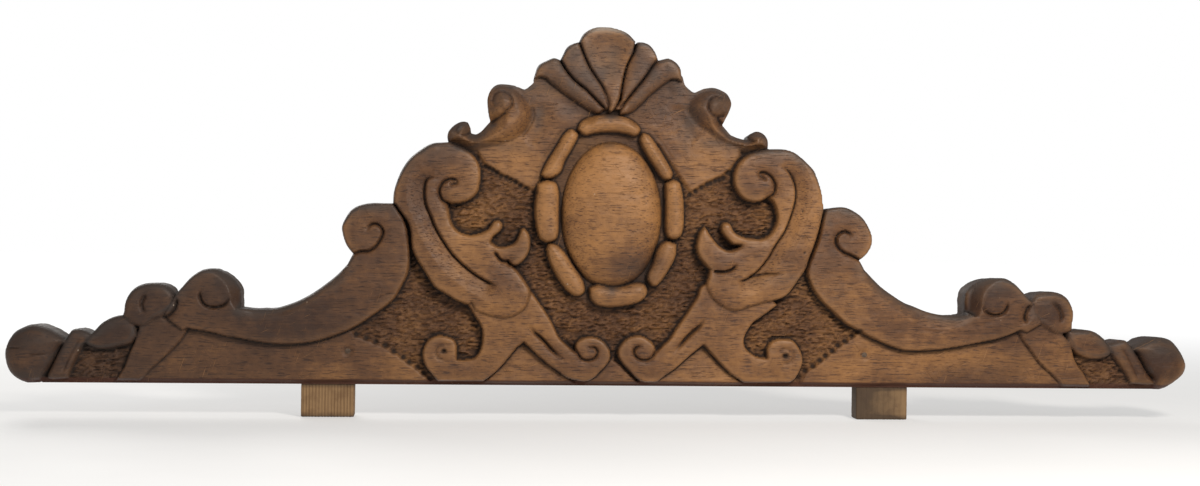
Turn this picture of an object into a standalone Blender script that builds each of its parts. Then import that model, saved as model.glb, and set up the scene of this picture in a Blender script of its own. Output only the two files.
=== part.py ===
# A carved wooden crest for the top of a bed head. Three planks are glued edge to edge with dowels,
# the front is carved in relief, and two loose tenons pegged into the underside hold it up.
# Metres. X runs along the crest, the front faces -Y, and Z=0 is the foot of the tenons.

import math

import bmesh
import bpy
from mathutils import Matrix

# Overall sizes.
crest_length = 1.0
crest_height = 0.3035

# Loose tenons, and the pegs that hold them.
tenon_width = 0.0445
tenon_thickness = 0.020
mortise_wall = 0.0032
tenon_drop = 0.028
tenon_seat = 0.034
tenon_spacing = 0.472
tenon_edge = 0.0012
peg_diameter = 0.0045
peg_height = 0.028
peg_from_tenon_edge = 0.0055
peg_end_wall = 0.002

# Dowels inside the two glue joints.
dowel_diameter = 0.008
dowel_length = 0.050
dowel_end = 0.0008
lower_dowel_spacing = 0.110
lower_dowel_count = 4
upper_dowel_spacing = 0.085
upper_dowel_count = 3

# Play between pieces that touch.
glue_gap = 0.0003
fit_gap = 0.0003
hole_end_gap = 0.001

# Height of each carved piece above the sunk ground, and the chamfer round its front.
land_rise = 0.0014
band_rise = 0.0045
leaf_rise = 0.0065
leg_rise = 0.0075
upper_scroll_rise = 0.0085
roundel_rise = 0.0095
c_scroll_rise = 0.0105
bead_rise = 0.0125
shell_rise = 0.0115
big_scroll_rise = 0.0140
cabochon_rise = 0.0150
ball_rise = 0.0090
soft_edge = 0.0028
fine_edge = 0.0015
bead_edge = 0.0042
groove_width = 0.0036
groove_lift = 0.0004

# The carving is drawn on a grid this long and this high, with x measured from the centre line
# and z from the bottom edge. Each outline is a list of runs. A run is a smooth curve through
# its points, and the corner where it ends is the first point of the next run.
grid_length = 1000.0
grid_height = 303.5
grid_step = 6.0
lower_joint = 99.5
upper_joint = 205.0

field_runs = [
    [(0, 0)], [(472, 0)], [(478, 15)], [(455, 31)], [(444, 36), (428, 34)], [(400, 44)], [(384, 66)],
    [(340, 74)], [(300, 59), (259, 66), (222, 92)], [(206, 118)], [(206, 138)], [(184, 148)],
    [(172, 172), (146, 194)], [(122, 203)], [(102, 208)], [(86, 226)],
    [(88, 252), (80, 253), (73, 251), (68, 253), (64, 258), (61, 267)], [(44, 270)], [(24, 286)], [(0, 298)],
]
big_scroll_runs = [
    [(136, 203.5), (148, 202.5), (158, 198.5), (167, 191), (174.5, 182), (179.5, 169), (181.5, 158)],
    [(182, 152), (174, 134), (170, 118), (164.5, 103), (153.5, 86.5), (136, 74), (113, 64.5), (97, 62),
     (83, 67), (75, 78), (75.5, 89)],
    [(81.5, 99), (73, 109), (70, 121), (76, 134), (84, 123.5), (94, 117.5)],
    [(105, 121), (95, 129), (96, 139.5), (105, 131.5), (118, 126.5), (131, 130), (138, 141), (138, 153)],
    [(134, 156), (119, 156.5), (109, 166), (107, 180), (113, 193.5), (124, 200)],
]
c_scroll_runs = [
    [(182, 152), (200, 153), (217, 145.5), (224.5, 129), (220.5, 115.5)],
    [(214.5, 109), (227, 92), (247, 76.5), (272, 65.5), (298, 62.8)],
    [(307.5, 63.7), (307.5, 77), (318, 91), (334, 95), (349.5, 88.5)],
    [(360, 77.5)],
    [(350, 48), (320, 40), (290, 34.5), (260, 33), (233, 39), (208, 51.5), (185, 69), (170, 92),
     (168, 103), (173, 132)],
]
upper_scroll_runs = [
    [(98.5, 222.5), (106, 214)],
    [(117, 211), (120, 218), (126, 219.5), (133, 215.5)],
    [(136, 203.5), (120, 198), (98, 199.5), (76, 209), (65, 226), (68, 243), (78, 252), (90, 254), (101, 248),
     (103.5, 238)],
]
leg_runs = [
    [(74, 84), (60, 63.5), (48.5, 45.5)],
    [(34, 28), (32, 37), (18, 42.5), (4, 32.5), (6.5, 19), (17.5, 7.5), (31, 3.5), (48, 12.5)],
    [(76, 36), (92, 18)],
    [(111, 3.5), (148, 3.5), (161, 24), (154, 39), (139, 41)],
    [(130, 24.5), (116, 28), (111, 41), (117, 54)],
    [(131, 66)],
    [(112, 76)],
]
roundel_runs = [
    [(358, 76), (371, 82.5), (388, 82.5), (399.5, 73), (402, 60), (395, 50), (382, 49), (368, 55)],
]
leaf_runs = [
    [(401.5, 53.5), (416, 52), (428, 43)],
    [(433, 38), (430, 28.5), (418, 25.5), (403, 31), (395, 40)],
]
band_runs = [
    [(348, 51), (364, 29), (392, 5)], [(413, 5), (404, 20), (398, 38)], [(394, 60)], [(368, 66)],
]
small_leaf_runs = [
    [(429, 36), (432, 40.5), (443, 43.7), (450, 38.5)], [(452, 36.5), (469, 6)], [(451, 6), (439, 25)],
]
ball_runs = [
    [(450, 33), (465, 44), (482, 45.5), (496, 34), (500, 20), (494.5, 8.5), (480, 0.5)],
    [(475, 0), (462, 16)],
]
side_lobe_runs = [
    [(26, 289), (34, 289), (41, 277)], [(42, 275), (28, 257.5), (11, 237)], [(6, 237), (12, 260)],
]
outer_lobe_runs = [
    [(43, 276), (53, 275.5), (60, 269)], [(60, 267), (40, 252), (15, 232)], [(11, 236), (29, 257)],
]
middle_lobe_runs = [
    [(-24, 290), (-13, 301), (0, 303.5), (13, 301), (24, 290)], [(24, 289), (11, 260), (2, 232)],
    [(-2, 232), (-11, 260), (-24, 289)],
]
lower_land_runs = [
    [(155, 4), (157, 7), (184, 27.5), (213, 44)], [(232, 50)], [(342, 58)], [(384, 40)], [(398, 4.2)],
]
upper_land_runs = [
    [(64, 163), (86, 171), (104, 180.5)], [(112, 194)], [(66, 220), (58, 250)], [(20, 226), (52, 196)],
]

# Grooves, each a smooth path on the same grid with the rise of the piece it is cut in.
groove_paths = {
    "long_groove": (big_scroll_rise, [(144, 179), (155.5, 171), (155.5, 153), (147, 132), (133, 110),
                                      (116, 93.5), (99, 85)]),
    "leg_slit": (leg_rise, [(76, 56), (63, 42.5), (45, 24.5)]),
}
# Volutes: centre, radius at the outer end, radius at the eye, and the two angles in degrees.
volutes = {
    "big_volute": (big_scroll_rise, (128, 166), 15, 7, -60, 95),
    "first_volute": (c_scroll_rise, (202.5, 123.5), 17, 6, -45, -330),
    "second_volute": (c_scroll_rise, (330.5, 75), 11, 11, -150, 5),
    "upper_volute": (upper_scroll_rise, (92, 238.5), 10, 9, -50, -260),
    "leg_volute": (leg_rise, (22.5, 28), 9, 6, 10, -220),
    "leg_eye": (leg_rise, (145, 28), 6, 3, 0, 300),
}

# The oval in the middle and the ring of beads round it.
cabochon_middle = 144.5
cabochon_half_width = 42.0
cabochon_half_height = 61.5
dome_sink = 0.0015
ring_middle = 148.0
ring_half_width = 52.5
ring_half_height = 71.0
bead_width = 18.5
bead_ends = [21, 62, 118, 159, 201, 242, 298, 339]
bead_gap = 1.6

# Worked out from the sizes above.
ground_depth = tenon_thickness + 2 * (mortise_wall + fit_gap)
rises = [cabochon_rise, big_scroll_rise, bead_rise, shell_rise, c_scroll_rise, ball_rise]
crest_depth = ground_depth + max(rises)
back_y = crest_depth / 2
spare = 0.004
rear_stagger = 0.0002
x_scale = crest_length / grid_length
z_scale = crest_height / grid_height
first_joint_z = tenon_drop + lower_joint * z_scale
second_joint_z = tenon_drop + upper_joint * z_scale
top_z = tenon_drop + crest_height


def smooth_through(points, step):
    """Points about a step apart on a smooth curve through the given ones, without the last."""
    ends = [tuple(2 * a - b for a, b in zip(points[0], points[1]))]
    ends += points
    ends.append(tuple(2 * a - b for a, b in zip(points[-1], points[-2])))
    found = []
    for before, start, end, after in zip(ends, ends[1:], ends[2:], ends[3:]):
        count = max(1, round(math.dist(start, end) / step))
        slopes = []
        for left, middle, right in ((before, start, end), (start, end, after)):
            reach = math.dist(left, middle) + math.dist(middle, right)
            slopes.append([(r - l) * math.dist(start, end) / reach for l, r in zip(left, right)])
        for index in range(count):
            t = index / count
            weights = (2 * t**3 - 3 * t**2 + 1, t**3 - 2 * t**2 + t, 3 * t**2 - 2 * t**3, t**3 - t**2)
            parts = zip(start, slopes[0], end, slopes[1])
            found.append(tuple(sum(w * p for w, p in zip(weights, part)) for part in parts))
    return found


def outline_of(runs, step=grid_step):
    """The closed outline that a list of runs describes."""
    points = []
    for run, following in zip(runs, runs[1:] + runs[:1]):
        points += smooth_through(run + following[:1], step)
    return points


def mirrored(points):
    return [(-x, z) for x, z in reversed(points)]


def symmetric_outline(runs):
    """The closed outline whose right half runs from the bottom of the centre line to its top."""
    points = []
    for run, following in zip(runs, runs[1:]):
        points += smooth_through(run + following[:1], grid_step)
    points.append(runs[-1][0])
    return points + mirrored(points)[1:-1]


def placed(point):
    x, z = point
    return x * x_scale, tenon_drop + z * z_scale


def new_object(name, bm, material=None):
    """An object made from a bmesh. Without a material it is a helper, which isn't rendered."""
    bmesh.ops.recalc_face_normals(bm, faces=bm.faces)
    mesh = bpy.data.meshes.new(name)
    bm.to_mesh(mesh)
    bm.free()
    item = bpy.data.objects.new(name, mesh)
    bpy.context.scene.collection.objects.link(item)
    if material:
        mesh.materials.append(material)
        mesh.shade_smooth()
        mesh.set_sharp_from_angle(angle=math.radians(35))
    else:
        item.hide_render = True
        item.display_type = "WIRE"
    return item


def raised_block(name, outline, rise, edge):
    """A block with this outline from behind the back face to its rise, chamfered at the front.

    Each block starts a little further back than the one before, because a Boolean union needs
    its flat faces in different planes. The planks are cut off at the back face.
    """
    bm = bmesh.new()
    rear = back_y + spare + rear_stagger * len(bpy.data.objects)
    front = back_y - ground_depth - rise
    rings = []
    for y in (rear, front + edge):
        rings.append([bm.verts.new((x, y, z)) for x, z in map(placed, outline)])
    bm.faces.new(rings[0])
    cap = bm.faces.new(list(reversed(rings[1])))
    count = len(outline)
    for index in range(count):
        following = (index + 1) % count
        bm.faces.new((rings[0][following], rings[0][index], rings[1][index], rings[1][following]))
    if edge:
        bmesh.ops.recalc_face_normals(bm, faces=bm.faces)
        bmesh.ops.inset_region(bm, faces=[cap], thickness=edge, use_boundary=True, use_even_offset=True)
        bmesh.ops.translate(bm, verts=cap.verts, vec=(0, -edge, 0))
    return new_object(name, bm)


def pair_of_blocks(name, runs, rise, edge):
    """The same carved piece on the right and, mirrored, on the left."""
    outline = outline_of(runs)
    return [
        raised_block(name + "_right", outline, rise, edge),
        raised_block(name + "_left", mirrored(outline), rise, edge),
    ]


def ring_point(angle, offset):
    """A point of the bead ring, at an angle in degrees and an offset outward from its middle."""
    turn = math.radians(angle)
    x = (ring_half_width + offset) * math.cos(turn)
    z = ring_middle + (ring_half_height + offset) * math.sin(turn)
    return x, z


def bead_block(name, start, end):
    """One bead of the ring, between two angles."""
    half = bead_width / 2
    margin = math.degrees(bead_gap / ring_half_height)
    angles = [start + margin + (end - start - 2 * margin) * step / 6 for step in range(7)]
    outline = [ring_point(angle, half) for angle in angles]
    outline += [ring_point(angle, -half) for angle in reversed(angles)]
    return raised_block(name, outline, bead_rise, bead_edge)


def cabochon_dome():
    """The oval dome, an ellipsoid whose middle is a little under the ground."""
    bm = bmesh.new()
    x, z = placed((0, cabochon_middle))
    size = (cabochon_half_width * x_scale, cabochon_rise + dome_sink, cabochon_half_height * z_scale)
    shift = Matrix.Translation((x, back_y - ground_depth + dome_sink, z))
    turn = Matrix.Rotation(math.radians(90), 4, "X")
    matrix = shift @ Matrix.Diagonal((*size, 1)) @ turn
    bmesh.ops.create_uvsphere(bm, u_segments=28, v_segments=12, radius=1, matrix=matrix)
    return new_object("cabochon", bm)


def groove_cutter(name, path, rise):
    """A round groove along a path, centred on the front of a piece and tapered at both ends."""
    curve = bpy.data.curves.new(name, "CURVE")
    curve.dimensions = "3D"
    curve.bevel_depth = groove_width / 2
    curve.bevel_resolution = 0
    curve.use_fill_caps = True
    spline = curve.splines.new("POLY")
    spline.points.add(len(path) - 1)
    for index, (x, z) in enumerate(map(placed, path)):
        spline.points[index].co = (x, back_y - ground_depth - rise - groove_lift, z, 1)
        spline.points[index].radius = min(1, 0.35 + min(index, len(path) - 1 - index) * 0.3)
    tube = bpy.data.objects.new(name + "_path", curve)
    bpy.context.scene.collection.objects.link(tube)
    solid = bpy.data.meshes.new_from_object(tube.evaluated_get(bpy.context.evaluated_depsgraph_get()))
    bpy.data.objects.remove(tube)
    bm = bmesh.new()
    bm.from_mesh(solid)
    bmesh.ops.remove_doubles(bm, verts=bm.verts, dist=1e-6)
    return new_object(name, bm)


def spiral(centre, outer, inner, start, end):
    """The path of a volute: an arc whose radius shrinks from outer to inner."""
    count = max(4, round(math.radians(abs(end - start)) * (outer + inner) / 2 / grid_step))
    path = []
    for index in range(count + 1):
        share = index / count
        turn = math.radians(start + (end - start) * share)
        radius = outer + (inner - outer) * share
        path.append((centre[0] + radius * math.cos(turn), centre[1] + radius * math.sin(turn)))
    return path


def grooves():
    """Every groove of the carving, on both sides."""
    paths = {}
    for name, (rise, points) in groove_paths.items():
        paths[name] = rise, smooth_through(points, grid_step) + points[-1:]
    for name, (rise, centre, outer, inner, start, end) in volutes.items():
        paths[name] = rise, spiral(centre, outer, inner, start, end)
    cutters = []
    for name, (rise, path) in paths.items():
        cutters.append(groove_cutter(name + "_right", path, rise))
        cutters.append(groove_cutter(name + "_left", mirrored(path), rise))
    return cutters


def group_of(name, members):
    """A collection that one Boolean takes as a whole."""
    group = bpy.data.collections.new(name)
    bpy.context.scene.collection.children.link(group)
    for item in members:
        group.objects.link(item)
        bpy.context.scene.collection.objects.unlink(item)
    return group


def add_boolean(item, operation, name, group=None, other=None):
    modifier = item.modifiers.new(name, "BOOLEAN")
    modifier.operation = operation
    modifier.solver = "EXACT"
    if group:
        modifier.operand_type = "COLLECTION"
        modifier.collection = group
    else:
        modifier.object = other


def carved_blank():
    """The whole carved board as one helper solid, from which the planks are cut."""
    field = raised_block("field", symmetric_outline(field_runs), 0.0, 0.0)
    pieces = []
    pieces += pair_of_blocks("lower_land", lower_land_runs, land_rise, 0.0)
    pieces += pair_of_blocks("upper_land", upper_land_runs, land_rise, 0.0)
    pieces += pair_of_blocks("band", band_runs, band_rise, fine_edge)
    pieces += pair_of_blocks("small_leaf", small_leaf_runs, band_rise, fine_edge)
    pieces += pair_of_blocks("leaf", leaf_runs, leaf_rise, soft_edge)
    pieces += pair_of_blocks("ball", ball_runs, ball_rise, bead_edge)
    pieces += pair_of_blocks("roundel", roundel_runs, roundel_rise, fine_edge)
    pieces += pair_of_blocks("leg", leg_runs, leg_rise, fine_edge)
    pieces += pair_of_blocks("c_scroll", c_scroll_runs, c_scroll_rise, fine_edge)
    pieces += pair_of_blocks("upper_scroll", upper_scroll_runs, upper_scroll_rise, soft_edge)
    pieces += pair_of_blocks("big_scroll", big_scroll_runs, big_scroll_rise, soft_edge)
    pieces += pair_of_blocks("side_lobe", side_lobe_runs, shell_rise, fine_edge)
    pieces += pair_of_blocks("outer_lobe", outer_lobe_runs, shell_rise - fine_edge, fine_edge)
    pieces.append(raised_block("middle_lobe", outline_of(middle_lobe_runs), shell_rise, fine_edge))
    for index, start in enumerate(bead_ends):
        end = bead_ends[(index + 1) % len(bead_ends)]
        pieces.append(bead_block(f"bead_{index + 1}", start, end if end > start else end + 360))
    pieces.append(cabochon_dome())
    cutters = grooves()
    add_boolean(field, "UNION", "Raise the carving", group=group_of("carving", pieces))
    add_boolean(field, "DIFFERENCE", "Cut the grooves", group=group_of("grooves", cutters))
    return field


def box(name, size, centre, material=None):
    bm = bmesh.new()
    bmesh.ops.create_cube(bm, size=1, matrix=Matrix.Translation(centre) @ Matrix.Diagonal((*size, 1)))
    return new_object(name, bm, material)


def rod(name, diameter, length, centre, axis, material=None, sides=24, end_chamfer=0.0):
    """A round rod along Y or Z."""
    bm = bmesh.new()
    turn = Matrix.Rotation(math.radians(90), 4, "X") if axis == "Y" else Matrix.Identity(4)
    radius = diameter / 2
    bmesh.ops.create_cone(bm, cap_ends=True, segments=sides, radius1=radius, radius2=radius, depth=length)
    if end_chamfer:
        rims = [edge for edge in bm.edges if abs(edge.verts[0].co.z - edge.verts[1].co.z) < length / 2]
        bmesh.ops.bevel(bm, geom=rims, offset=end_chamfer, segments=1, affect="EDGES")
    bmesh.ops.transform(bm, verts=bm.verts, matrix=Matrix.Translation(centre) @ turn)
    return new_object(name, bm, material)


def wood(name, colour, roughness):
    material = bpy.data.materials.new(name)
    material.use_nodes = True
    shader = material.node_tree.nodes["Principled BSDF"]
    shader.inputs["Base Color"].default_value = (*colour, 1)
    shader.inputs["Roughness"].default_value = roughness
    shader.inputs["Metallic"].default_value = 0.0
    material.diffuse_color = (*colour, 1)
    return material


def clear_scene():
    for item in list(bpy.data.objects):
        bpy.data.objects.remove(item)


def plank(name, bottom, top, blank, cutters, material):
    """The stretch of the carved board between two heights, with its holes and mortises."""
    depth = crest_depth + 2 * spare
    size = (crest_length + 4 * spare, depth, top - bottom)
    centre = (0, back_y - depth / 2, (bottom + top) / 2)
    item = box(name, size, centre, material)
    add_boolean(item, "INTERSECT", "Keep this plank", other=blank)
    add_boolean(item, "DIFFERENCE", "Cut the holes", group=group_of(name + "_holes", cutters))
    return item


def peg_place(side):
    """Where a peg runs: through its tenon, near the edge that faces the middle."""
    x = side * (tenon_spacing / 2 - tenon_width / 2 + peg_from_tenon_edge)
    front = back_y - ground_depth - land_rise
    rear = back_y - peg_end_wall
    return x, front, rear, tenon_drop + peg_height


def core_y():
    """The tenons and dowels are centred in the thickness of the sunk ground."""
    return back_y - ground_depth / 2


def tenon(name, side, material):
    """A loose tenon: a squared block, half in the plank and half below it."""
    length = tenon_drop + tenon_seat
    centre = (side * tenon_spacing / 2, core_y(), length / 2)
    item = box(name, (tenon_width, tenon_thickness, length), centre, material)
    chamfer = item.modifiers.new("Ease the edges", "BEVEL")
    chamfer.width = tenon_edge
    chamfer.segments = 1
    x, front, rear, z = peg_place(side)
    hole = rod(name + "_hole", peg_diameter + 2 * fit_gap, rear - front, (x, (front + rear) / 2, z), "Y")
    add_boolean(item, "DIFFERENCE", "Bore for the peg", other=hole)
    return item


def mortise(name, side):
    """The pocket in the underside that a tenon sits in."""
    length = tenon_seat + hole_end_gap + spare
    size = (tenon_width + 2 * fit_gap, tenon_thickness + 2 * fit_gap, length)
    centre = (side * tenon_spacing / 2, core_y(), tenon_drop - spare + length / 2)
    return box(name, size, centre)


def peg(name, side, material):
    x, front, rear, z = peg_place(side)
    return rod(name, peg_diameter, rear - front, (x, (front + rear) / 2, z), "Y", material, sides=16)


def peg_hole(name, side):
    """A blind hole from the front face, as deep as the peg with a little to spare."""
    x, front, rear, z = peg_place(side)
    start = front - spare
    end = rear + fit_gap
    return rod(name, peg_diameter + 2 * fit_gap, end - start, (x, (start + end) / 2, z), "Y", sides=16)


def dowel_places(spacing, count):
    return [(index - (count - 1) / 2) * spacing for index in range(count)]


def dowel_holes(name, joint_z, places):
    """The holes for one joint's dowels, which run into the planks above and below."""
    size = dowel_length + 2 * hole_end_gap
    y = core_y()
    return [
        rod(f"{name}_hole_{index + 1}", dowel_diameter + 2 * fit_gap, size, (x, y, joint_z), "Z")
        for index, x in enumerate(places)
    ]


def dowels(name, joint_z, places, material):
    y = core_y()
    for index, x in enumerate(places):
        rod(f"{name}_{index + 1}", dowel_diameter, dowel_length, (x, y, joint_z), "Z", material,
            end_chamfer=dowel_end)


def build_crest():
    clear_scene()
    walnut = wood("carved walnut", (0.19, 0.105, 0.062), 0.62)
    softwood = wood("tenon softwood", (0.40, 0.235, 0.105), 0.68)
    beech = wood("dowel beech", (0.55, 0.38, 0.23), 0.6)
    blank = carved_blank()
    sides = {"left": -1, "right": 1}

    base_cutters = []
    for word, side in sides.items():
        base_cutters.append(mortise(f"mortise_{word}", side))
        base_cutters.append(peg_hole(f"peg_hole_{word}", side))
    lower_places = dowel_places(lower_dowel_spacing, lower_dowel_count)
    upper_places = dowel_places(upper_dowel_spacing, upper_dowel_count)
    base_cutters += dowel_holes("base_dowel", first_joint_z, lower_places)
    middle_cutters = dowel_holes("middle_low_dowel", first_joint_z, lower_places)
    middle_cutters += dowel_holes("middle_high_dowel", second_joint_z, upper_places)
    crown_cutters = dowel_holes("crown_dowel", second_joint_z, upper_places)

    half_gap = glue_gap / 2
    plank("base_plank", tenon_drop - spare, first_joint_z - half_gap, blank, base_cutters, walnut)
    plank("middle_plank", first_joint_z + half_gap, second_joint_z - half_gap, blank, middle_cutters, walnut)
    plank("crown_plank", second_joint_z + half_gap, top_z + spare, blank, crown_cutters, walnut)
    dowels("lower_dowel", first_joint_z, lower_places, beech)
    dowels("upper_dowel", second_joint_z, upper_places, beech)
    for word, side in sides.items():
        tenon(f"tenon_{word}", side, softwood)
        peg(f"tenon_peg_{word}", side, beech)


build_crest()
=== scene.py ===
# A carved walnut crest for the top of a bed head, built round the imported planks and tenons.
# The carving is drawn in millimetres: x from the centre line, z from the feet of the tenons.

import math

import bpy
import numpy as np
from mathutils import Matrix, Vector


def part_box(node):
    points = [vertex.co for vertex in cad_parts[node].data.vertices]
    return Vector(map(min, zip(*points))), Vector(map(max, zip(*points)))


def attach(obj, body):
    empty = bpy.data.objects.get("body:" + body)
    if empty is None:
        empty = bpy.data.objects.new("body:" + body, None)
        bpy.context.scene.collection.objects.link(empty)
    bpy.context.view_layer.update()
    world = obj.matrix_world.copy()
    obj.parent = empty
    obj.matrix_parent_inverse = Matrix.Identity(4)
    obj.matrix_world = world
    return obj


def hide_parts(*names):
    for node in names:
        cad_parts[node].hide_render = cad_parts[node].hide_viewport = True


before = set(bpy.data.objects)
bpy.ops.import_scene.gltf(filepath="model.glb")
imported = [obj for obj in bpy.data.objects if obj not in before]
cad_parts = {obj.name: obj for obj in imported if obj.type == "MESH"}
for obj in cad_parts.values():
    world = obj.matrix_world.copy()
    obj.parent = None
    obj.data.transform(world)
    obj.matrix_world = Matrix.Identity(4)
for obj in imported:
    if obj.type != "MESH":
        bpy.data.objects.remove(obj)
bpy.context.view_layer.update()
mm = 0.001

board = {
    "gridStep": 0.99,        # spacing of the carved surface's points
    "reach": 14.0,           # how far from an outline distances are worked out
    "lean": -0.0187,         # the drawing leans a little to the left as it rises
    "leanFrom": 150.0,       # the height that the lean leaves where it was
    "groundDepth": 27.0,     # back face to the punched ground
    "jointGap": 0.12,        # the glue lines' width
    "wallSteps": 5,          # rows of faces down the sawn sides
    "wallTaper": 0.7,        # the sides are cut slightly under
    "lineStep": 2.2,         # length of the straight pieces that make a curve
    "waviness": 0.28,        # unevenness left by the gouge
    "lowest": -2.6,          # the deepest punch, below the punched ground
    "highest": 15.2,         # the highest carving
    "highestSoft": 1.5,      # how far below that the tops start to round over
    "overTop": 3.0,          # how far the grid goes past the top
    "overEnds": 6.0,         # and past each end
    "seed": 41,
}

planks = {name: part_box(name) for name in ("base_plank", "middle_plank", "crown_plank")}
backY = planks["base_plank"][1].y
groundY = backY - board["groundDepth"] * mm
lowZ = planks["base_plank"][0].z / mm
topZ = planks["crown_plank"][1].z / mm
firstJoint = (planks["base_plank"][1].z + planks["middle_plank"][0].z) / 2 / mm
secondJoint = (planks["middle_plank"][1].z + planks["crown_plank"][0].z) / 2 / mm
halfLength = planks["base_plank"][1].x / mm
print("frame loaded, joints at", round(firstJoint, 1), "and", round(secondJoint, 1), "mm")


# The relief lives on a grid, with rows for each plank that stop just short of its glue lines.
def rowsBetween(low, high):
    return np.linspace(low, high, max(2, round((high - low) / board["gridStep"]) + 1))


gap = board["jointGap"] / 2
rowSets = {
    "base_plank": rowsBetween(lowZ, firstJoint - gap),
    "middle_plank": rowsBetween(firstJoint + gap, secondJoint - gap),
    "crown_plank": rowsBetween(secondJoint + gap, topZ + board["overTop"]),
}
gridX = np.arange(-halfLength - board["overEnds"], halfLength + board["overEnds"], board["gridStep"])
gridZ = np.concatenate(list(rowSets.values()))
allX, allZ = np.meshgrid(gridX, gridZ)
height = np.zeros(allX.shape)                       # mm above the punched ground
solid = np.full(allX.shape, -board["reach"])        # mm inside the board's outline
carved = np.full(allX.shape, -board["reach"])       # mm inside a raised piece of carving
smoothed = np.zeros(allX.shape)                     # 1 where the ground was left smooth, not punched
# Besides each piece's own tone, this carries painted light and shade from the broad patches further down.
tone = np.zeros(allX.shape)                         # how much lighter or darker a piece is
rng = np.random.default_rng(board["seed"])
sides = {"left": -1, "right": 1}


def smooth(t):
    t = np.clip(t, 0, 1)
    return t * t * (3 - 2 * t)


def dome(t):
    return np.sqrt(np.maximum(0, 1 - (1 - np.clip(t, 0, 1)) ** 2))


def softNoise(widthX, widthZ):
    # Even, smooth unevenness with bumps about this wide and this high.
    columns = (gridX - gridX[0]) / widthX
    rows = (gridZ - gridZ[0]) / widthZ
    lattice = rng.uniform(-1, 1, (int(rows[-1]) + 3, int(columns[-1]) + 3))
    c, r = columns.astype(int), rows.astype(int)
    u, v = smooth(columns - c), smooth(rows - r)[:, None]
    low = lattice[np.ix_(r, c)] * (1 - u) + lattice[np.ix_(r, c + 1)] * u
    high = lattice[np.ix_(r + 1, c)] * (1 - u) + lattice[np.ix_(r + 1, c + 1)] * u
    return low * (1 - v) + high * v


def spread(field, radius):
    # A soft blur, made of two passes of a running mean.
    n = max(1, round(radius / board["gridStep"]))
    for _ in range(2):
        for axis in (0, 1):
            pad = [(0, 0), (0, 0)]
            pad[axis] = (n + 1, n)
            total = np.cumsum(np.pad(field, pad, mode="edge"), axis=axis)
            size = field.shape[axis]
            ahead = np.take(total, range(2 * n + 1, 2 * n + 1 + size), axis=axis)
            behind = np.take(total, range(size), axis=axis)
            field = (ahead - behind) / (2 * n + 1)
    return field


def place(point, side):
    # A drawn point on the left, where side is -1, or on the right, where it is 1.
    x, z = point
    return side * x + board["lean"] * (z - board["leanFrom"]), z


def curveThrough(points):
    # A smooth line through the points, which always includes them.
    points = [np.array(p, float) for p in points]
    ends = [2 * points[0] - points[1]] + points + [2 * points[-1] - points[-2]]
    line = []
    for before, start, end, after in zip(ends, ends[1:], ends[2:], ends[3:]):
        length = np.linalg.norm(end - start)
        slopeIn = (end - before) * length / (np.linalg.norm(start - before) + length + 1e-6)
        slopeOut = (after - start) * length / (np.linalg.norm(after - end) + length + 1e-6)
        t = np.linspace(0, 1, max(2, round(length / board["lineStep"]) + 1))[:-1, None]
        line.append((2 * t**3 - 3 * t**2 + 1) * start + (t**3 - 2 * t**2 + t) * slopeIn
                    + (3 * t**2 - 2 * t**3) * end + (t**3 - t**2) * slopeOut)
    line.append(points[-1][None])
    return np.concatenate(line)


def outlineOf(runs, side):
    # Runs are smooth curves that meet at corners: each ends where the next begins.
    line = []
    for run, following in zip(runs, runs[1:] + runs[:1]):
        line.append(curveThrough([place(p, side) for p in run + following[:1]])[:-1])
    return np.concatenate(line)


def windowOf(line, reach):
    low, high = line.min(0) - reach, line.max(0) + reach
    columns = slice(*np.searchsorted(gridX, (low[0], high[0])))
    rows = slice(*np.searchsorted(gridZ, (low[1], high[1])))
    return rows, columns


def besideSegment(a, b, x, z, reach):
    # The part of the grid near a straight piece of line, and for each point there how far along
    # the piece it is, its distance from the piece, and a value whose sign says which side it is on.
    low, high = np.minimum(a, b) - reach, np.maximum(a, b) + reach
    r = slice(*np.searchsorted(z, (low[1], high[1])))
    c = slice(*np.searchsorted(x, (low[0], high[0])))
    dx, dz = x[c][None] - a[0], z[r][:, None] - a[1]
    run = b - a
    t = np.clip((dx * run[0] + dz * run[1]) / max(run @ run, 1e-9), 0, 1)
    return (r, c), t, np.hypot(dx - t * run[0], dz - t * run[1]), run[0] * dz - run[1] * dx


def insideDistance(line, reach):
    # How far each point near a closed outline is inside it, negative outside.
    rows, columns = windowOf(line, reach)
    x, z = gridX[columns], gridZ[rows]
    near = np.full((len(z), len(x)), reach)
    odd = np.zeros(near.shape, bool)
    for a, b in zip(line, np.roll(line, -1, 0)):
        part, _, away, _ = besideSegment(a, b, x, z, reach)
        near[part] = np.minimum(near[part], away)
        if b[1] != a[1]:
            crossed = slice(*np.searchsorted(z, sorted((a[1], b[1]))))
            at = a[0] + (z[crossed] - a[1]) * (b[0] - a[0]) / (b[1] - a[1])
            odd[crossed] ^= x[None] < at[:, None]
    return rows, columns, np.where(odd, near, -near)


def pathDistance(line, reach):
    # Distance from an open line, how far along it from 0 to 1, and which side of it.
    rows, columns = windowOf(line, reach)
    x, z = gridX[columns], gridZ[rows]
    near = np.full((len(z), len(x)), reach)
    along, hand = np.zeros(near.shape), np.zeros(near.shape)
    count = len(line) - 1
    for index, (a, b) in enumerate(zip(line, line[1:])):
        part, t, away, turned = besideSegment(a, b, x, z, reach)
        closer = away < near[part]
        near[part] = np.where(closer, away, near[part])
        along[part] = np.where(closer, (index + t) / count, along[part])
        hand[part] = np.where(closer, np.sign(turned), hand[part])
    return rows, columns, near, along, hand


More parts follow.
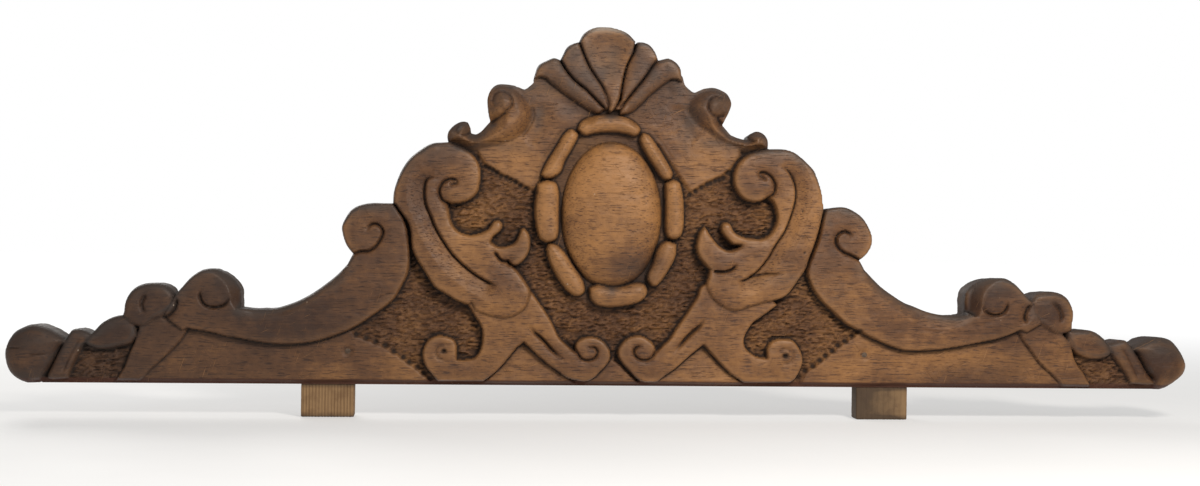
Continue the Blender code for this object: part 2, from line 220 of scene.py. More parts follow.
def raisePiece(runs, side, rise, edge=3.0, crown=0.0, crownReach=12.0, shade=0.0, tilt=(0, 0),
               wall=0.7, melt=0.0):
    # rise and crown are in mm, and edge is how far in the shoulder rounds. melt 0 leaves a cut
    # shoulder round the piece, and 1 lets it run softly into what is beside it.
    line = outlineOf(runs, side)
    rows, columns, inside = insideDistance(line, board["reach"])
    middle = line.mean(0)
    lean = (tilt[0] * side * (gridX[columns][None] - middle[0])
            + tilt[1] * (gridZ[rows][:, None] - middle[1]))
    shoulder = 0.5 * smooth((inside + wall) / (2 * wall)) + 0.5 * dome(inside / edge)
    shoulder = shoulder * (1 - melt) + smooth(inside / edge) * melt
    swell = dome(inside / crownReach) * (1 - melt) + smooth(inside / crownReach) * melt
    made = (rise + lean) * shoulder + crown * swell
    made = np.where(inside > -wall, made, 0)
    now = height[rows, columns]
    tone[rows, columns] = np.where((made > now) & (inside > 0), shade, tone[rows, columns])
    height[rows, columns] = np.maximum(now, made)
    solid[rows, columns] = np.maximum(solid[rows, columns], inside)
    carved[rows, columns] = np.maximum(carved[rows, columns], inside)


def raiseLand(runs, side, rise, edge=3.0, shade=0.0, falls=(0.0, 0.0)):
    # Smooth ground, a little higher than the punched ground. falls is a slope and where it starts.
    rows, columns, inside = insideDistance(outlineOf(runs, side), board["reach"])
    z = gridZ[rows][:, None]
    made = (rise + falls[0] * (z - falls[1])) * smooth((inside + 0.6) / edge)
    now = height[rows, columns]
    smoothed[rows, columns] = np.maximum(smoothed[rows, columns], smooth((inside + 1) / 2))
    tone[rows, columns] = np.where(inside > 0, shade, tone[rows, columns])
    height[rows, columns] = np.maximum(now, made)


def cutGroove(points, side, depth, width=1.3, soft=0.0, softWidth=6.0, softHand=0, fade=(0.0, 0.0),
              bevel=(0.0, 8.0), overGround=0.35):
    # A V cut, with an optional broad hollow, or a bevel that falls away on one side of it.
    # overGround is how much of the cut carries on where there is no raised piece.
    line = curveThrough([place(p, side) for p in points])
    rows, columns, away, along, hand = pathDistance(line, board["reach"])
    strength = smooth(along / fade[0]) if fade[0] else 1.0
    strength = strength * (smooth((1 - along) / fade[1]) if fade[1] else 1.0)
    cut = depth * np.maximum(0, 1 - away / width) ** 0.8
    hollow = soft * np.exp(-((away / softWidth) ** 2))
    if softHand:
        hollow = hollow * smooth(0.5 + hand * softHand * side * away / 1.2)
    keep = smooth((carved[rows, columns] + 0.5) / 1.5)
    past = np.where((along > 0) & (along < 1), hand * side * away, 0)
    falling = bevel[0] * np.clip(past / bevel[1], 0, 1)
    height[rows, columns] -= (cut + hollow + falling) * strength * np.maximum(keep, overGround)


def dent(x, z, halfX, halfZ, depth, turn=0.0, farOut=2.6):
    reach = farOut * max(halfX, halfZ)
    columns = slice(*np.searchsorted(gridX, (x - reach, x + reach)))
    rows = slice(*np.searchsorted(gridZ, (z - reach, z + reach)))
    dx, dz = gridX[columns][None] - x, gridZ[rows][:, None] - z
    u = dx * math.cos(turn) + dz * math.sin(turn)
    v = dz * math.cos(turn) - dx * math.sin(turn)
    height[rows, columns] -= depth * np.exp(-((u / halfX) ** 2) - (v / halfZ) ** 2)


# The sunk field that joins all the carving.
sunkField = [
    [(0, 28)], [(472, 28)], [(478, 43)], [(455, 59)], [(444, 64), (428, 62)], [(400, 70)], [(384, 92)],
    [(340, 100)], [(300, 85), (259, 92), (222, 118)], [(206, 146)], [(206, 166)], [(184, 176)],
    [(172, 200), (146, 222)], [(122, 231)], [(102, 236)], [(86, 254)],
    [(86, 278), (78, 279.5), (72, 277.5), (68, 280), (64, 284), (61, 292)], [(44, 296)], [(24, 312)],
    [(-2, 322)], [(-3, 28)],
]
for side in sides.values():
    rows, columns, inside = insideDistance(outlineOf(sunkField, side), board["reach"])
    solid[rows, columns] = np.maximum(solid[rows, columns], inside)

land = {
    "lowerLand": {
        "left": [[(214, 70), (198, 64), (183, 56), (170, 47), (161, 40)], [(153, 33)], [(147, 26)],
                 [(402, 26)], [(384, 70)], [(342, 96)], [(232, 92)]],
        "right": [[(207, 72), (195, 64), (184, 55), (173, 46)], [(166, 42)], [(160, 26)], [(402, 26)],
                  [(384, 70)], [(342, 96)], [(228, 92)]],
        "look": {"rise": 1.9, "edge": 3.5, "shade": -0.05},
    },
    "upperLand": {
        "left": [[(64, 191), (76, 196.5), (88, 203), (105, 212)], [(113, 224)], [(110, 238)], [(99, 254)],
                 [(104, 284)], [(60, 296)], [(-4, 262)], [(-4, 250)], [(40, 232)]],
        "right": [[(68, 191), (83, 200), (101, 210)], [(113, 224)], [(110, 238)], [(99, 254)],
                  [(104, 284)], [(60, 296)], [(-4, 262)], [(-4, 250)], [(40, 232)]],
        "look": {"rise": 2.2, "edge": 4.0, "shade": 0.06},
    },
    "archFloor": {
        "left": [[(26, 26)], [(38, 36), (55, 48)], [(74, 66)], [(88, 50)], [(112, 26)]],
        "right": [[(26, 26)], [(45, 38), (60, 50)], [(78, 65)], [(92, 48)], [(118, 26)]],
        "look": {"rise": 3.8, "edge": 2.0, "shade": 0.12, "falls": (-0.1, 28)},
    },
    "middleFloor": {
        "left": [[(-2, 26)], [(-2, 52)], [(8, 46)], [(26, 26)]],
        "right": [[(-2, 26)], [(-2, 52)], [(8, 46)], [(28, 26)]],
        "look": {"rise": 3.0, "edge": 2.0, "shade": 0.05, "falls": (-0.06, 28)},
    },
}
for piece in land.values():
    for word, side in sides.items():
        raiseLand(piece[word], side, **piece["look"])

carving = {
    "band": {
        "left": [[(350, 78), (355, 68), (361, 60), (370, 51), (380, 42)], [(394, 28)], [(413, 28)],
                 [(404, 42), (400, 53)], [(396, 62), (394, 68)], [(391, 78)], [(372, 92)], [(350, 100)]],
        "right": [[(350, 80), (355, 70), (362, 61), (370, 50), (380, 41)], [(393, 28)], [(417, 28)],
                  [(409, 42), (402, 52)], [(399, 62), (397, 68)], [(388, 78)], [(372, 90)], [(350, 100)]],
        "look": {"rise": 5.6, "edge": 2.0, "crown": 0.8, "crownReach": 10, "shade": -0.12},
    },
    "leaf": {
        "left": [[(396, 84), (405, 84.5), (411, 83.5), (417, 81), (423, 77), (428, 71.5)], [(432, 68)],
                 [(437, 62), (432, 58.5), (425, 56.5), (415, 57), (405, 59), (398, 61)], [(393, 68)]],
        "right": [[(394, 79), (399, 78.7), (405, 79), (413, 79), (420, 77), (427, 72)], [(431, 67.5)],
                  [(434, 60), (430, 56), (420, 54), (410, 55), (403, 58), (399, 62)], [(395, 68)]],
        "look": {"rise": 6.0, "edge": 4.0, "crown": 1.6, "crownReach": 11, "shade": -0.2},
    },
    "smallLeaf": {
        "left": [[(428, 67), (431, 69), (436, 71.5), (442, 72.8), (446, 72)], [(450, 67)],
                 [(455, 58), (460, 48), (466, 32)], [(450, 32)], [(446, 42), (441, 52), (437, 60)]],
        "right": [[(429, 66), (433, 68), (438, 69.5), (443, 70.5), (447, 70)], [(451, 66)],
                  [(460, 52), (465, 43), (472, 33)], [(451, 33)], [(446, 42), (440, 50), (434, 58)]],
        "look": {"rise": 5.0, "edge": 3.6, "crown": 2.2, "crownReach": 8, "shade": -0.15},
    },
    "ball": {
        "left": [[(450, 62), (452, 64.5), (457, 68.5), (463, 72), (470, 75), (478, 76.3), (485, 74),
                  (492, 70), (497, 63.5), (500, 56), (500.5, 50), (499, 42), (496, 36), (490, 31),
                  (483, 28.3)], [(474, 28)], [(470, 35), (465, 40), (461, 48), (456, 58)]],
        "right": [[(450, 62), (452, 65), (458, 68), (465, 71.5), (472, 73), (480, 73), (488, 70),
                   (494, 63), (498, 56), (500, 49), (498, 42), (493, 37), (486, 32), (480, 29)],
                  [(473, 28)], [(470, 38), (465, 44), (461, 52), (456, 60)]],
        "look": {"rise": 3.2, "edge": 5.0, "crown": 10.5, "crownReach": 23, "shade": -0.22, "wall": 1.0},
    },
    "legs": {
        "left": [[(80, 116), (73, 112), (67, 107), (62, 100), (57, 93), (52, 85), (48, 77), (44, 69),
                  (38, 63)], [(31, 57)],
                 [(31, 61), (30, 65), (24, 69), (16, 70), (8, 67), (2, 60), (1, 52), (5, 45), (10, 40),
                  (15, 35), (22, 32), (30, 33), (38, 35), (45, 40), (55, 47), (65, 56)], [(74, 64.5)],
                 [(80, 60), (88, 50), (95, 42), (102, 36)], [(108, 31.8)],
                 [(146, 31), (150, 36), (155, 42), (158, 48), (159, 55), (157, 62), (153, 67), (146, 70),
                  (138, 69), (132, 66)], [(130, 61)],
                 [(130, 50), (122, 50), (115, 52), (111, 58), (109, 66), (109, 74), (111, 80), (115, 86)],
                 [(122, 98)], [(100, 116)]],
        "right": [[(86, 118), (76, 113), (73, 105), (68, 97), (62, 88), (55, 78), (50, 70), (45, 65)],
                  [(38, 58)],
                  [(37, 62), (34, 66), (27, 70.5), (20, 71), (12, 68), (6, 61), (5, 55), (8, 49),
                   (14, 42), (20, 36), (25, 32.5), (32, 31), (38, 32), (45, 37), (55, 44), (65, 53)],
                  [(78, 63.5)], [(84, 57), (92, 48), (100, 40), (106, 36)], [(113, 31.8)],
                  [(152, 32), (157, 36), (161, 43), (163, 49), (163, 55), (160, 62), (155, 68),
                   (148, 69.5), (141, 69), (135, 66)], [(132, 60)],
                  [(132, 53), (125, 54), (119, 57), (114, 62), (113, 69), (116, 76), (121, 83),
                   (127, 87)], [(142, 98)], [(130, 112)], [(100, 118)]],
        "look": {"rise": 8.6, "edge": 2.2, "crown": 1.0, "crownReach": 12, "shade": 0.02},
    },
    "cScroll": {
        "left": [[(182, 180), (190, 180), (200, 180), (210, 178), (217, 174), (222, 167), (225, 160),
                  (224, 152), (221, 144)], [(216, 137.5)],
                 [(221, 128), (230, 119), (240, 111), (250, 104), (261, 98), (270, 94.5), (280, 91.5),
                  (290, 91), (300, 91)], [(309, 91.8)],
                 [(309, 100), (309.5, 106), (313, 113), (320, 119.5), (327, 123), (331, 124),
                  (340, 122.5), (349, 116.5), (355, 110)], [(362, 102)], [(372, 84)], [(356, 72)],
                 [(352, 74)],
                 [(340, 72), (330, 70), (320, 67.5), (310, 66), (300, 64), (290, 62.5), (280, 61.5),
                  (270, 61.5), (260, 62), (250, 63.5), (240, 66), (230, 69.5), (220, 73.5), (210, 79),
                  (200, 86), (190, 93), (182, 100), (176, 110), (171, 120), (169, 130), (169, 140),
                  (170, 152)], [(171, 160)], [(174, 168)]],
        "right": [[(183, 180), (190, 181.5), (200, 182), (208, 179), (216, 173), (222, 163), (224, 155),
                   (223, 149), (219, 142)], [(213, 137)],
                  [(217, 129), (224, 122), (233, 113.5), (243, 106.5), (252, 101), (260, 98), (270, 94),
                   (280, 91.5), (290, 90.5), (300, 90.5)], [(306, 91.5)],
                  [(306, 98), (306, 104), (308, 112), (315, 118), (323, 121.5), (332, 123), (341, 122.5),
                   (350, 117), (355, 111.5)], [(362, 104)], [(372, 84)], [(358, 76)], [(352, 78)],
                  [(340, 73), (330, 70), (320, 68), (310, 66), (300, 64), (290, 62.5), (280, 61),
                   (270, 60.5), (260, 60), (250, 60.5), (240, 63.5), (230, 67.5), (220, 72), (210, 77.5),
                   (200, 83), (190, 92), (180, 101), (172, 112), (167, 125), (168, 132)],
                  [(172, 142), (177, 155)], [(180, 168)]],
        "look": {"rise": 9.6, "edge": 2.2, "crown": 1.1, "crownReach": 13, "shade": -0.12},
    },
    "roundel": {
        "left": [[(362, 101), (365, 106), (370, 110), (378, 111.5), (388, 110.5), (395, 107),
                  (400, 101.5), (403, 95), (404, 88)],
                 [(405, 84), (402, 80), (398, 77), (390, 75), (385, 76), (380, 80)], [(372, 83)],
                 [(364, 91)]],
        "right": [[(361, 103), (365, 108.5), (371, 111), (379, 112), (388, 110.5), (394, 107), (398, 101),
                   (400, 93), (399, 85)], [(398.5, 79), (395, 77), (388, 75), (381, 76), (376, 79)],
                  [(368, 84)], [(362, 92)]],
        "look": {"rise": 8.2, "edge": 5.0, "crown": 2.0, "crownReach": 14, "shade": -0.2},
    },
    "upperScroll": {
        "left": [[(80, 280.5), (88, 281.5), (95, 281), (100, 277), (103, 270), (103, 262)], [(101, 250)],
                 [(108, 242), (113, 239)], [(117, 240)],
                 [(117.5, 244), (120, 249), (125, 249.5), (131, 246.5), (136, 241), (137, 236)],
                 [(136, 231)],
                 [(128, 229), (120, 226), (112, 225), (100, 227), (88, 230), (78, 234), (71, 240),
                  (66, 247), (63, 255), (64, 263), (68, 270), (74, 276)]],
        "right": [[(80, 281), (88, 282), (95, 280), (101, 276), (104, 269), (102, 262), (99, 256)],
                  [(96, 250.5)], [(103, 242), (110, 239.5)], [(117, 238)],
                  [(118.5, 242), (123, 245), (127, 245.5), (132, 243), (135, 238)], [(135, 230)],
                  [(130, 229), (118, 228), (100, 233), (90, 237), (80, 244), (71, 252), (65, 262),
                   (66, 271), (72, 277)]],
        "look": {"rise": 3.6, "edge": 8.5, "crown": 9.4, "crownReach": 16, "shade": 0.0,
                 "tilt": (0.085, 0.02), "melt": 0.8},
    },
    "bigScroll": {
        "left": [[(136, 232), (142, 231.5), (150, 230.5), (158, 226), (168, 218), (175, 208), (180, 196),
                  (182, 188)], [(182.5, 180)],
                 [(180, 178), (176, 172), (171, 165), (169, 160), (168, 152), (167, 142), (163, 133),
                  (158, 125), (153, 117), (148, 110), (140, 105), (130, 99), (120, 95.5)], [(118, 97)],
                 [(115, 91), (105, 87), (95, 85), (87, 85), (79, 88), (72, 94), (69, 101), (68, 108),
                  (71, 114), (75, 120), (80, 126)], [(87, 132)],
                 [(86, 130), (80, 129), (74, 133), (69, 141), (68, 149), (69, 156)], [(73, 161)],
                 [(76, 160), (78, 155), (81, 149), (88, 145.5), (95, 145)], [(101, 149)],
                 [(99, 153), (93, 158), (91, 163), (94, 167), (99, 166), (103, 160), (108, 157),
                  (116, 154.5), (122, 155), (130, 159), (134, 166), (136, 176)], [(137, 181)],
                 [(134, 180), (126, 181), (118, 184), (112, 190), (110, 197), (109, 206), (111, 215),
                  (116, 222), (122, 226), (129, 229)]],
        "right": [[(135, 230.5), (148, 230.5), (157, 228), (165, 222), (173, 214), (177, 205), (180, 195),
                   (181, 187)], [(182, 180)],
                  [(180, 172), (177, 160), (173, 148), (169, 138), (166, 129), (160, 120), (155, 113),
                   (149, 106), (140, 102), (130, 99.5), (118, 96), (108, 93), (100, 93), (94, 96),
                   (87, 101), (82, 108), (80, 115), (82, 122)], [(83, 127)],
                  [(80, 131), (75, 137), (72, 145), (73, 153), (76, 161)], [(80, 164)],
                  [(82, 161), (86, 155), (92, 148), (100, 144), (107, 146)], [(110, 148)],
                  [(103, 149), (97, 155), (93, 162), (95, 167), (101, 167), (105, 160), (112, 156),
                   (122, 154.5), (130, 155), (137, 161), (141, 170), (140, 180), (138, 185)],
                  [(134, 189)],
                  [(128, 186), (121, 185), (114, 187), (109, 191), (105, 198), (104, 206), (106, 214),
                   (110, 220), (116, 225), (123, 228)]],
        "look": {"rise": 11.2, "edge": 2.6, "crown": 2.6, "crownReach": 14, "shade": 0.0},
    },
}
for piece in carving.values():
    for word, side in sides.items():
        raisePiece(piece[word], side, **piece["look"])
print("scrolls raised")

# The beads round the oval, each a closed curve with x to the right of the centre line.
beads = {
    "top": [(-28, 244), (-27, 248), (-24, 252), (-15, 256), (0, 257.5), (12, 256), (22, 251), (26, 245),
            (22, 239.5), (12, 241.5), (0, 242.5), (-12, 241.5), (-22, 239.5)],
    "upperLeft": [(-59, 206), (-55, 215), (-47, 228), (-39, 241), (-33, 245), (-27, 240), (-31, 230),
                  (-38, 218), (-42, 208), (-49, 203), (-56, 203)],
    "upperRight": [(27, 243), (33, 241), (40, 232), (48, 219), (53, 209), (51, 203), (44, 204), (36, 215),
                   (28.5, 227), (24.5, 237)],
    "left": [(-62, 198), (-54, 201.5), (-45, 198), (-43.5, 175), (-45, 153), (-53, 148.5), (-61, 153),
             (-64.5, 175)],
    "right": [(46, 200), (53, 203.5), (59.5, 200), (62.5, 178), (60.5, 157), (53.5, 152.5), (47, 156),
              (46.2, 178)],
    "lowerLeft": [(-55, 143), (-53, 134), (-45, 118), (-36, 107), (-28, 103.5), (-22, 108), (-24, 118),
                  (-32, 130), (-39, 141), (-46, 147.5), (-53, 148)],
    "lowerRight": [(56, 149), (55, 138), (47, 123), (40, 114), (35, 112.5), (30, 120), (35, 133),
                   (40, 146), (47, 151.5)],
    "bottom": [(-19, 111), (-18, 102), (-12, 96), (0, 94.5), (15, 96.5), (26, 100.5), (31, 108),
               (28, 115), (20, 116), (10, 113), (0, 112), (-12, 114)],
}
beadLook = {"rise": 6.2, "edge": 2.4, "crown": 6.6, "crownReach": 9.5, "shade": 0.2, "wall": 0.8}
for line in beads.values():
    raisePiece([line, line[:1]], 1, **beadLook)

# Distances from the oval are in parts of its size: 1 is its rim, and the beads lie inside the ring.
oval = {
    "x": 0.5, "z": 172.5, "halfX": 42.5, "halfZ": 62.0,
    "rise": 14.2, "power": 2.5, "shade": 0.2,
    "innerReach": 45,        # mm from the rim to the middle
    "rim": 0.93, "ring": 1.34, "ringEdge": 0.12,
}
fromOval = np.hypot((allX - oval["x"]) / oval["halfX"], (allZ - oval["z"]) / oval["halfZ"])
made = oval["rise"] * np.maximum(0, 1 - fromOval ** oval["power"]) ** 0.5
tone = np.where(made > height, oval["shade"], tone)
carved = np.maximum(carved, np.where(fromOval < 1, (1 - fromOval) * oval["innerReach"], -board["reach"]))
smoothed = np.maximum(smoothed, smooth((oval["ring"] - fromOval) / oval["ringEdge"]))
height = np.maximum(height, made)
print("oval and beads raised")

# The shell: five flutes that fan out from a point above the top bead.
flutes = {
    "outer": {
        "left": [[(42.5, 303), (47, 304.3), (53, 302), (60, 298), (63, 291), (64, 286), (60, 288),
                  (54, 287)], [(50, 283), (40, 275.5), (30, 268.5), (20, 262), (10, 258)], [(4, 262)],
                 [(10, 268), (20, 278), (30, 286), (36, 293)]],
        "right": [[(41, 304), (45, 305), (50, 306), (56, 303), (60, 298), (61, 291), (61, 286),
                   (57, 288)], [(52, 288), (45, 283), (35, 275), (25, 265), (17, 259)], [(8, 257)],
                  [(8, 261), (14, 270), (22, 280), (30, 290), (36, 299)]],
        "look": {"rise": 7.2, "edge": 2.2, "crown": 2.6, "crownReach": 9, "shade": -0.03},
    },
    "side": {
        "left": [[(26, 318), (30, 317), (36, 313.5), (41, 304)], [(42, 303)],
                 [(36, 293), (30, 286), (20, 278), (10, 268), (3, 261)], [(1, 264)],
                 [(5, 280), (12, 290), (17, 297), (22, 308)]],
        "right": [[(23, 319), (28, 319), (33, 317.5), (38, 312), (41, 304)], [(40, 303)],
                  [(36, 299), (30, 290), (22, 280), (14, 270), (8, 261)], [(3, 262)],
                  [(9, 270), (10, 280), (12, 290), (15, 300), (20, 310)]],
        "look": {"rise": 9.2, "edge": 1.5, "crown": 1.3, "crownReach": 8, "shade": -0.03},
    },
}
for piece in flutes.values():
    for word, side in sides.items():
        raisePiece(piece[word], side, **piece["look"])
middleFlute = {
    "line": [[(-26, 318), (-22, 325), (-14, 330), (-4, 331.4), (6, 330), (15, 326.5)], [(22, 319.5)],
             [(20, 310), (15, 300), (12, 290), (10, 280), (8, 270), (3, 261)], [(0, 258.5)],
             [(-2, 261), (-3, 268), (-7, 280), (-13, 290), (-18, 298), (-22.5, 308)]],
    "look": {"rise": 10.9, "edge": 2.0, "crown": 0.9, "crownReach": 9, "shade": 0.02},
}
raisePiece(middleFlute["line"], 1, **middleFlute["look"])

shell = {
    "scoopMiddle": (-2.5, 306.0), "scoopSize": (17.0, 21.0), "scoopDepth": 4.2, "scoopPower": 1.4,
    "ribs": {
        "left": [[(26, 319), (22, 308), (17, 297), (12, 289), (6, 280), (2, 270), (0.5, 261)],
                 [(42.5, 304), (36, 293), (30, 286), (20, 278), (10, 268), (3, 261)]],
        "right": [[(23, 320), (20, 310), (15, 300), (12, 290), (10, 280), (8, 270), (4, 261)],
                  [(41, 305), (36, 299), (30, 290), (22, 280), (14, 270), (6, 261)]],
    },
    "ribLook": {"depth": 3.0, "width": 1.3, "soft": 0.5, "softWidth": 2.4, "fade": (0.04, 0.1)},
}
u = (allX - shell["scoopMiddle"][0]) / shell["scoopSize"][0]
v = (allZ - shell["scoopMiddle"][1]) / shell["scoopSize"][1]
height -= shell["scoopDepth"] * np.exp(-(u**2 + v**2) ** shell["scoopPower"])
for word, side in sides.items():
    for rib in shell["ribs"][word]:
        cutGroove(rib, side, **shell["ribLook"])
# The land dips where it runs up to the shell and to the upper scrolls.
dips = {
    "left": [[(10, 254), (22, 259), (34, 266), (46, 275), (57, 283)],
             [(72, 232), (62, 243), (57, 255), (60, 268)]],
    "right": [[(14, 254), (24, 259), (34, 266), (45, 276), (57, 284)],
              [(76, 236), (66, 246), (60, 257), (60, 268)]],
    "look": {"depth": 0.0, "soft": 4.6, "softWidth": 7.5, "fade": (0.15, 0.15)},
}
for word, side in sides.items():
    for line in dips[word]:
        cutGroove(line, side, **dips["look"])
print("shell cut")

# Cuts in the raised pieces. softHand says which side of the line slopes down into it.
cuts = {
    "longGroove": {
        "left": [(144, 198), (148, 201.5), (154, 200), (156, 190), (155, 180), (151, 170), (147, 160),
                 (140, 148), (133, 138), (125, 130), (115, 122), (105, 116), (95, 111)],
        "right": [(143, 216), (150, 212), (155, 204), (157, 195), (156, 185), (152, 172), (147, 160),
                  (140, 150), (133, 138), (125, 128), (118, 122), (112, 119), (105, 118)],
        "look": {"depth": 3.0, "width": 1.5, "soft": 4.6, "softWidth": 9.0, "softHand": 1,
                 "fade": (0.12, 0.08)},
    },
    "bigVolute": {
        "left": [(127, 197), (131, 200.5), (136, 200.5), (141, 197.5), (144, 191), (142, 184),
                 (136.5, 180)],
        "right": [(123, 208), (129, 210.5), (136, 207), (139.5, 200), (138.5, 193), (134, 189)],
        "look": {"depth": 4.0, "width": 1.5, "soft": 1.6, "softWidth": 4.5, "fade": (0.15, 0.0)},
    },
    "voluteEye": {
        "left": [(127, 197.5), (132, 197), (136, 195.5)],
        "right": [(124, 208.5), (128, 206.5), (133, 203)],
        "look": {"depth": 2.4, "width": 1.6, "soft": 0.8, "softWidth": 3.0, "fade": (0.3, 0.3)},
    },
    "leafSlit": {
        "left": [(87, 132.5), (92, 133), (96, 137), (99, 142)],
        "right": [(88, 126), (97, 126), (102, 128), (107, 133)],
        "look": {"depth": 4.5, "width": 1.6, "soft": 1.2, "softWidth": 4.0, "fade": (0.0, 0.3)},
    },
    "firstVolute": {
        "left": [(216, 137), (210, 139.5), (203, 140), (197, 144), (193, 150), (191, 156), (194, 161),
                 (199, 162.5), (203.5, 159), (204, 155)],
        "right": [(213, 137), (205, 141), (198, 144), (193, 149), (192, 155), (195, 159.5), (200, 161),
                  (205, 158), (205, 153.5)],
        "look": {"depth": 4.0, "width": 1.6, "soft": 1.4, "softWidth": 4.0, "softHand": 1,
                 "fade": (0.0, 0.2)},
    },
    "secondVolute": {
        "left": [(317.5, 104), (318.5, 98), (322, 93.5), (330, 91.5), (337, 93), (341, 98), (341.5, 105),
                 (338, 109)],
        "right": [(318.5, 102), (319.5, 97), (323, 93), (330, 91), (337, 93), (340.5, 98), (341, 105)],
        "look": {"depth": 3.4, "width": 1.5, "soft": 1.3, "softWidth": 3.5, "softHand": 1,
                 "fade": (0.3, 0.25)},
    },
    "armScoop": {
        "left": [(217, 128), (220, 120), (233, 110), (247, 100), (265, 89), (275, 84.5), (290, 83.5),
                 (303, 86), (311, 91)],
        "right": [(214, 130), (217, 119), (225, 110), (240, 98), (253, 88.5), (270, 80.5), (290, 79.5),
                  (305, 84), (316, 93)],
        "look": {"depth": 0.0, "bevel": (3.8, 8.5), "fade": (0.1, 0.12)},
    },
    "secondVoluteSide": {
        "left": [(313, 90), (316.5, 97), (317.5, 105), (321, 112), (327, 117.5), (334, 121), (342, 122)],
        "right": [(315, 89), (318, 96), (318.5, 105), (321, 112), (327, 117.5), (334, 121), (342, 122)],
        "look": {"depth": 0.0, "bevel": (8.5, 8.0), "fade": (0.0, 0.4)},
    },
    "upperEye": {
        "left": [(88.5, 259), (84, 262), (82.5, 267), (85, 272.5), (90, 275), (95.5, 274), (98.5, 270),
                 (98.5, 265), (95, 262), (91.5, 263.5)],
        "right": [(97, 258), (91, 257), (85.5, 259.5), (83, 265), (84.5, 271), (89.5, 274.5), (95, 273.5),
                  (98, 269.5), (97.5, 265)],
        "look": {"depth": 2.2, "width": 1.5, "soft": 0.9, "softWidth": 3.5, "fade": (0.0, 0.3)},
    },
    "upperHollow": {
        "left": [(86, 259), (92, 254.5), (98, 250.5), (104, 247)],
        "right": [(90, 258), (95, 252), (100, 247), (107, 241.5)],
        "look": {"depth": 3.0, "width": 1.8, "soft": 2.2, "softWidth": 4.0, "fade": (0.2, 0.3)},
    },
    "smallCurl": {
        "left": [(117.5, 241), (121, 238.5), (126, 238), (129.5, 241), (128, 244.5), (124.5, 244.5)],
        "right": [(118, 239.5), (121, 237), (126, 237), (129, 240), (127.5, 242.5)],
        "look": {"depth": 2.0, "width": 1.3, "soft": 0.6, "softWidth": 3.0, "fade": (0.0, 0.4)},
    },
    "roundelCrescent": {
        "left": [(383, 101.5), (387, 99.5), (389, 95), (388, 89.5), (384.5, 87)],
        "right": [(378, 103), (383, 101), (387, 96), (388.5, 90), (386, 85)],
        "look": {"depth": 2.6, "width": 2.0, "soft": 1.0, "softWidth": 4.0, "fade": (0.25, 0.25)},
    },
    "roundelRoot": {
        "left": [(360, 100), (361.5, 92), (366, 85.5), (374, 82)],
        "right": [(362, 101), (358, 96), (356, 89), (358, 84)],
        "look": {"depth": 3.4, "width": 1.7, "soft": 1.8, "softWidth": 4.5, "fade": (0.2, 0.2)},
    },
    "legCurl": {
        "left": [(31.5, 60), (28.5, 55.5), (26, 51.5), (20, 50), (14, 52.5), (12, 57.5), (15, 61),
                 (20, 60.5), (21, 57.5)],
        "right": [(36.5, 57), (34, 53), (29, 50.5), (24, 51), (19.5, 54.5), (19, 59.5), (23, 62),
                  (26.5, 59.5)],
        "look": {"depth": 3.2, "width": 1.4, "soft": 0.9, "softWidth": 3.0, "fade": (0.0, 0.2)},
    },
    "legCurlEye": {
        "left": [(133, 60), (138, 62.5), (144, 62), (147.5, 57.5), (146.5, 52), (141, 49.5), (135.5, 51)],
        "right": [(142, 55), (143.5, 59.5), (148, 61), (153, 58.5), (154.5, 54), (151.5, 49.5),
                  (146.5, 48.8), (142.5, 51.5)],
        "look": {"depth": 0.9, "width": 1.4, "soft": 0.5, "softWidth": 3.0, "fade": (0.2, 0.2)},
    },
    "legSlit": {
        "left": [(72, 81), (66, 74), (58, 67), (50, 58), (42, 51), (38, 47.5)],
        "right": [(80, 88), (75, 80), (68, 74), (62, 68), (56, 61), (51, 56)],
        "look": {"depth": 4.8, "width": 1.9, "soft": 1.4, "softWidth": 4.5, "fade": (0.35, 0.4)},
    },
    "leafRidge": {
        "left": [(438, 66), (445, 55), (450, 45), (454, 34)],
        "right": [(441, 66), (448, 55), (453, 45), (457, 36)],
        "look": {"depth": 0.8, "width": 1.4, "soft": 1.0, "softWidth": 3.2, "softHand": 1,
                 "fade": (0.2, 0.2)},
    },
}
for piece in cuts.values():
    for word, side in sides.items():
        cutGroove(piece[word], side, **piece["look"])
rightBranch = {
    "line": [(112, 121.5), (120, 122.5), (132, 124.5), (142, 124.5), (152, 126)],
    "look": {"depth": 2.6, "width": 1.4, "soft": 0.8, "softWidth": 4.0, "fade": (0.2, 0.5)},
}
cutGroove(rightBranch["line"], 1, **rightBranch["look"])
print("grooves cut")

# Splits in the wood, thin and shallow: side, line and depth.
splits = {
    "ballUpper": (-1, [(483, 57.5), (490, 57), (500, 57.2)], 1.6),
    "ballLower": (-1, [(462, 52.4), (472, 52), (484, 52.3)], 1.2),
    "landLine": (1, [(330, 38.2), (360, 38.8), (400, 38.4), (452, 38.7)], 0.7),
    "armLeft": (-1, [(205, 98), (190, 103), (178, 108)], 0.9),
    "bottomLeft": (-1, [(228, 33.5), (246, 34.2), (262, 33.4)], 0.7),
    "armRight": (1, [(262, 78), (276, 77), (292, 77.4)], 0.4),
    "ballRight": (1, [(470, 50), (482, 49.6), (492, 50.2)], 0.6),
}
splitLook = {"width": 0.95, "fade": (0.3, 0.3)}
for side, points, depth in splits.values():
    cutGroove(points, side, depth, **splitLook)

# Two faint incised lines just outside the upper beads.
incised = {
    "left": [(35, 249), (44, 240), (53, 227), (60, 214)],
    "right": [(33, 248), (42, 238), (51, 224), (58, 212)],
    "look": {"depth": 1.2, "width": 1.2, "soft": 0.3, "softWidth": 3.0, "fade": (0.3, 0.3)},
}
for word, side in sides.items():
    cutGroove(incised[word], side, **incised["look"])

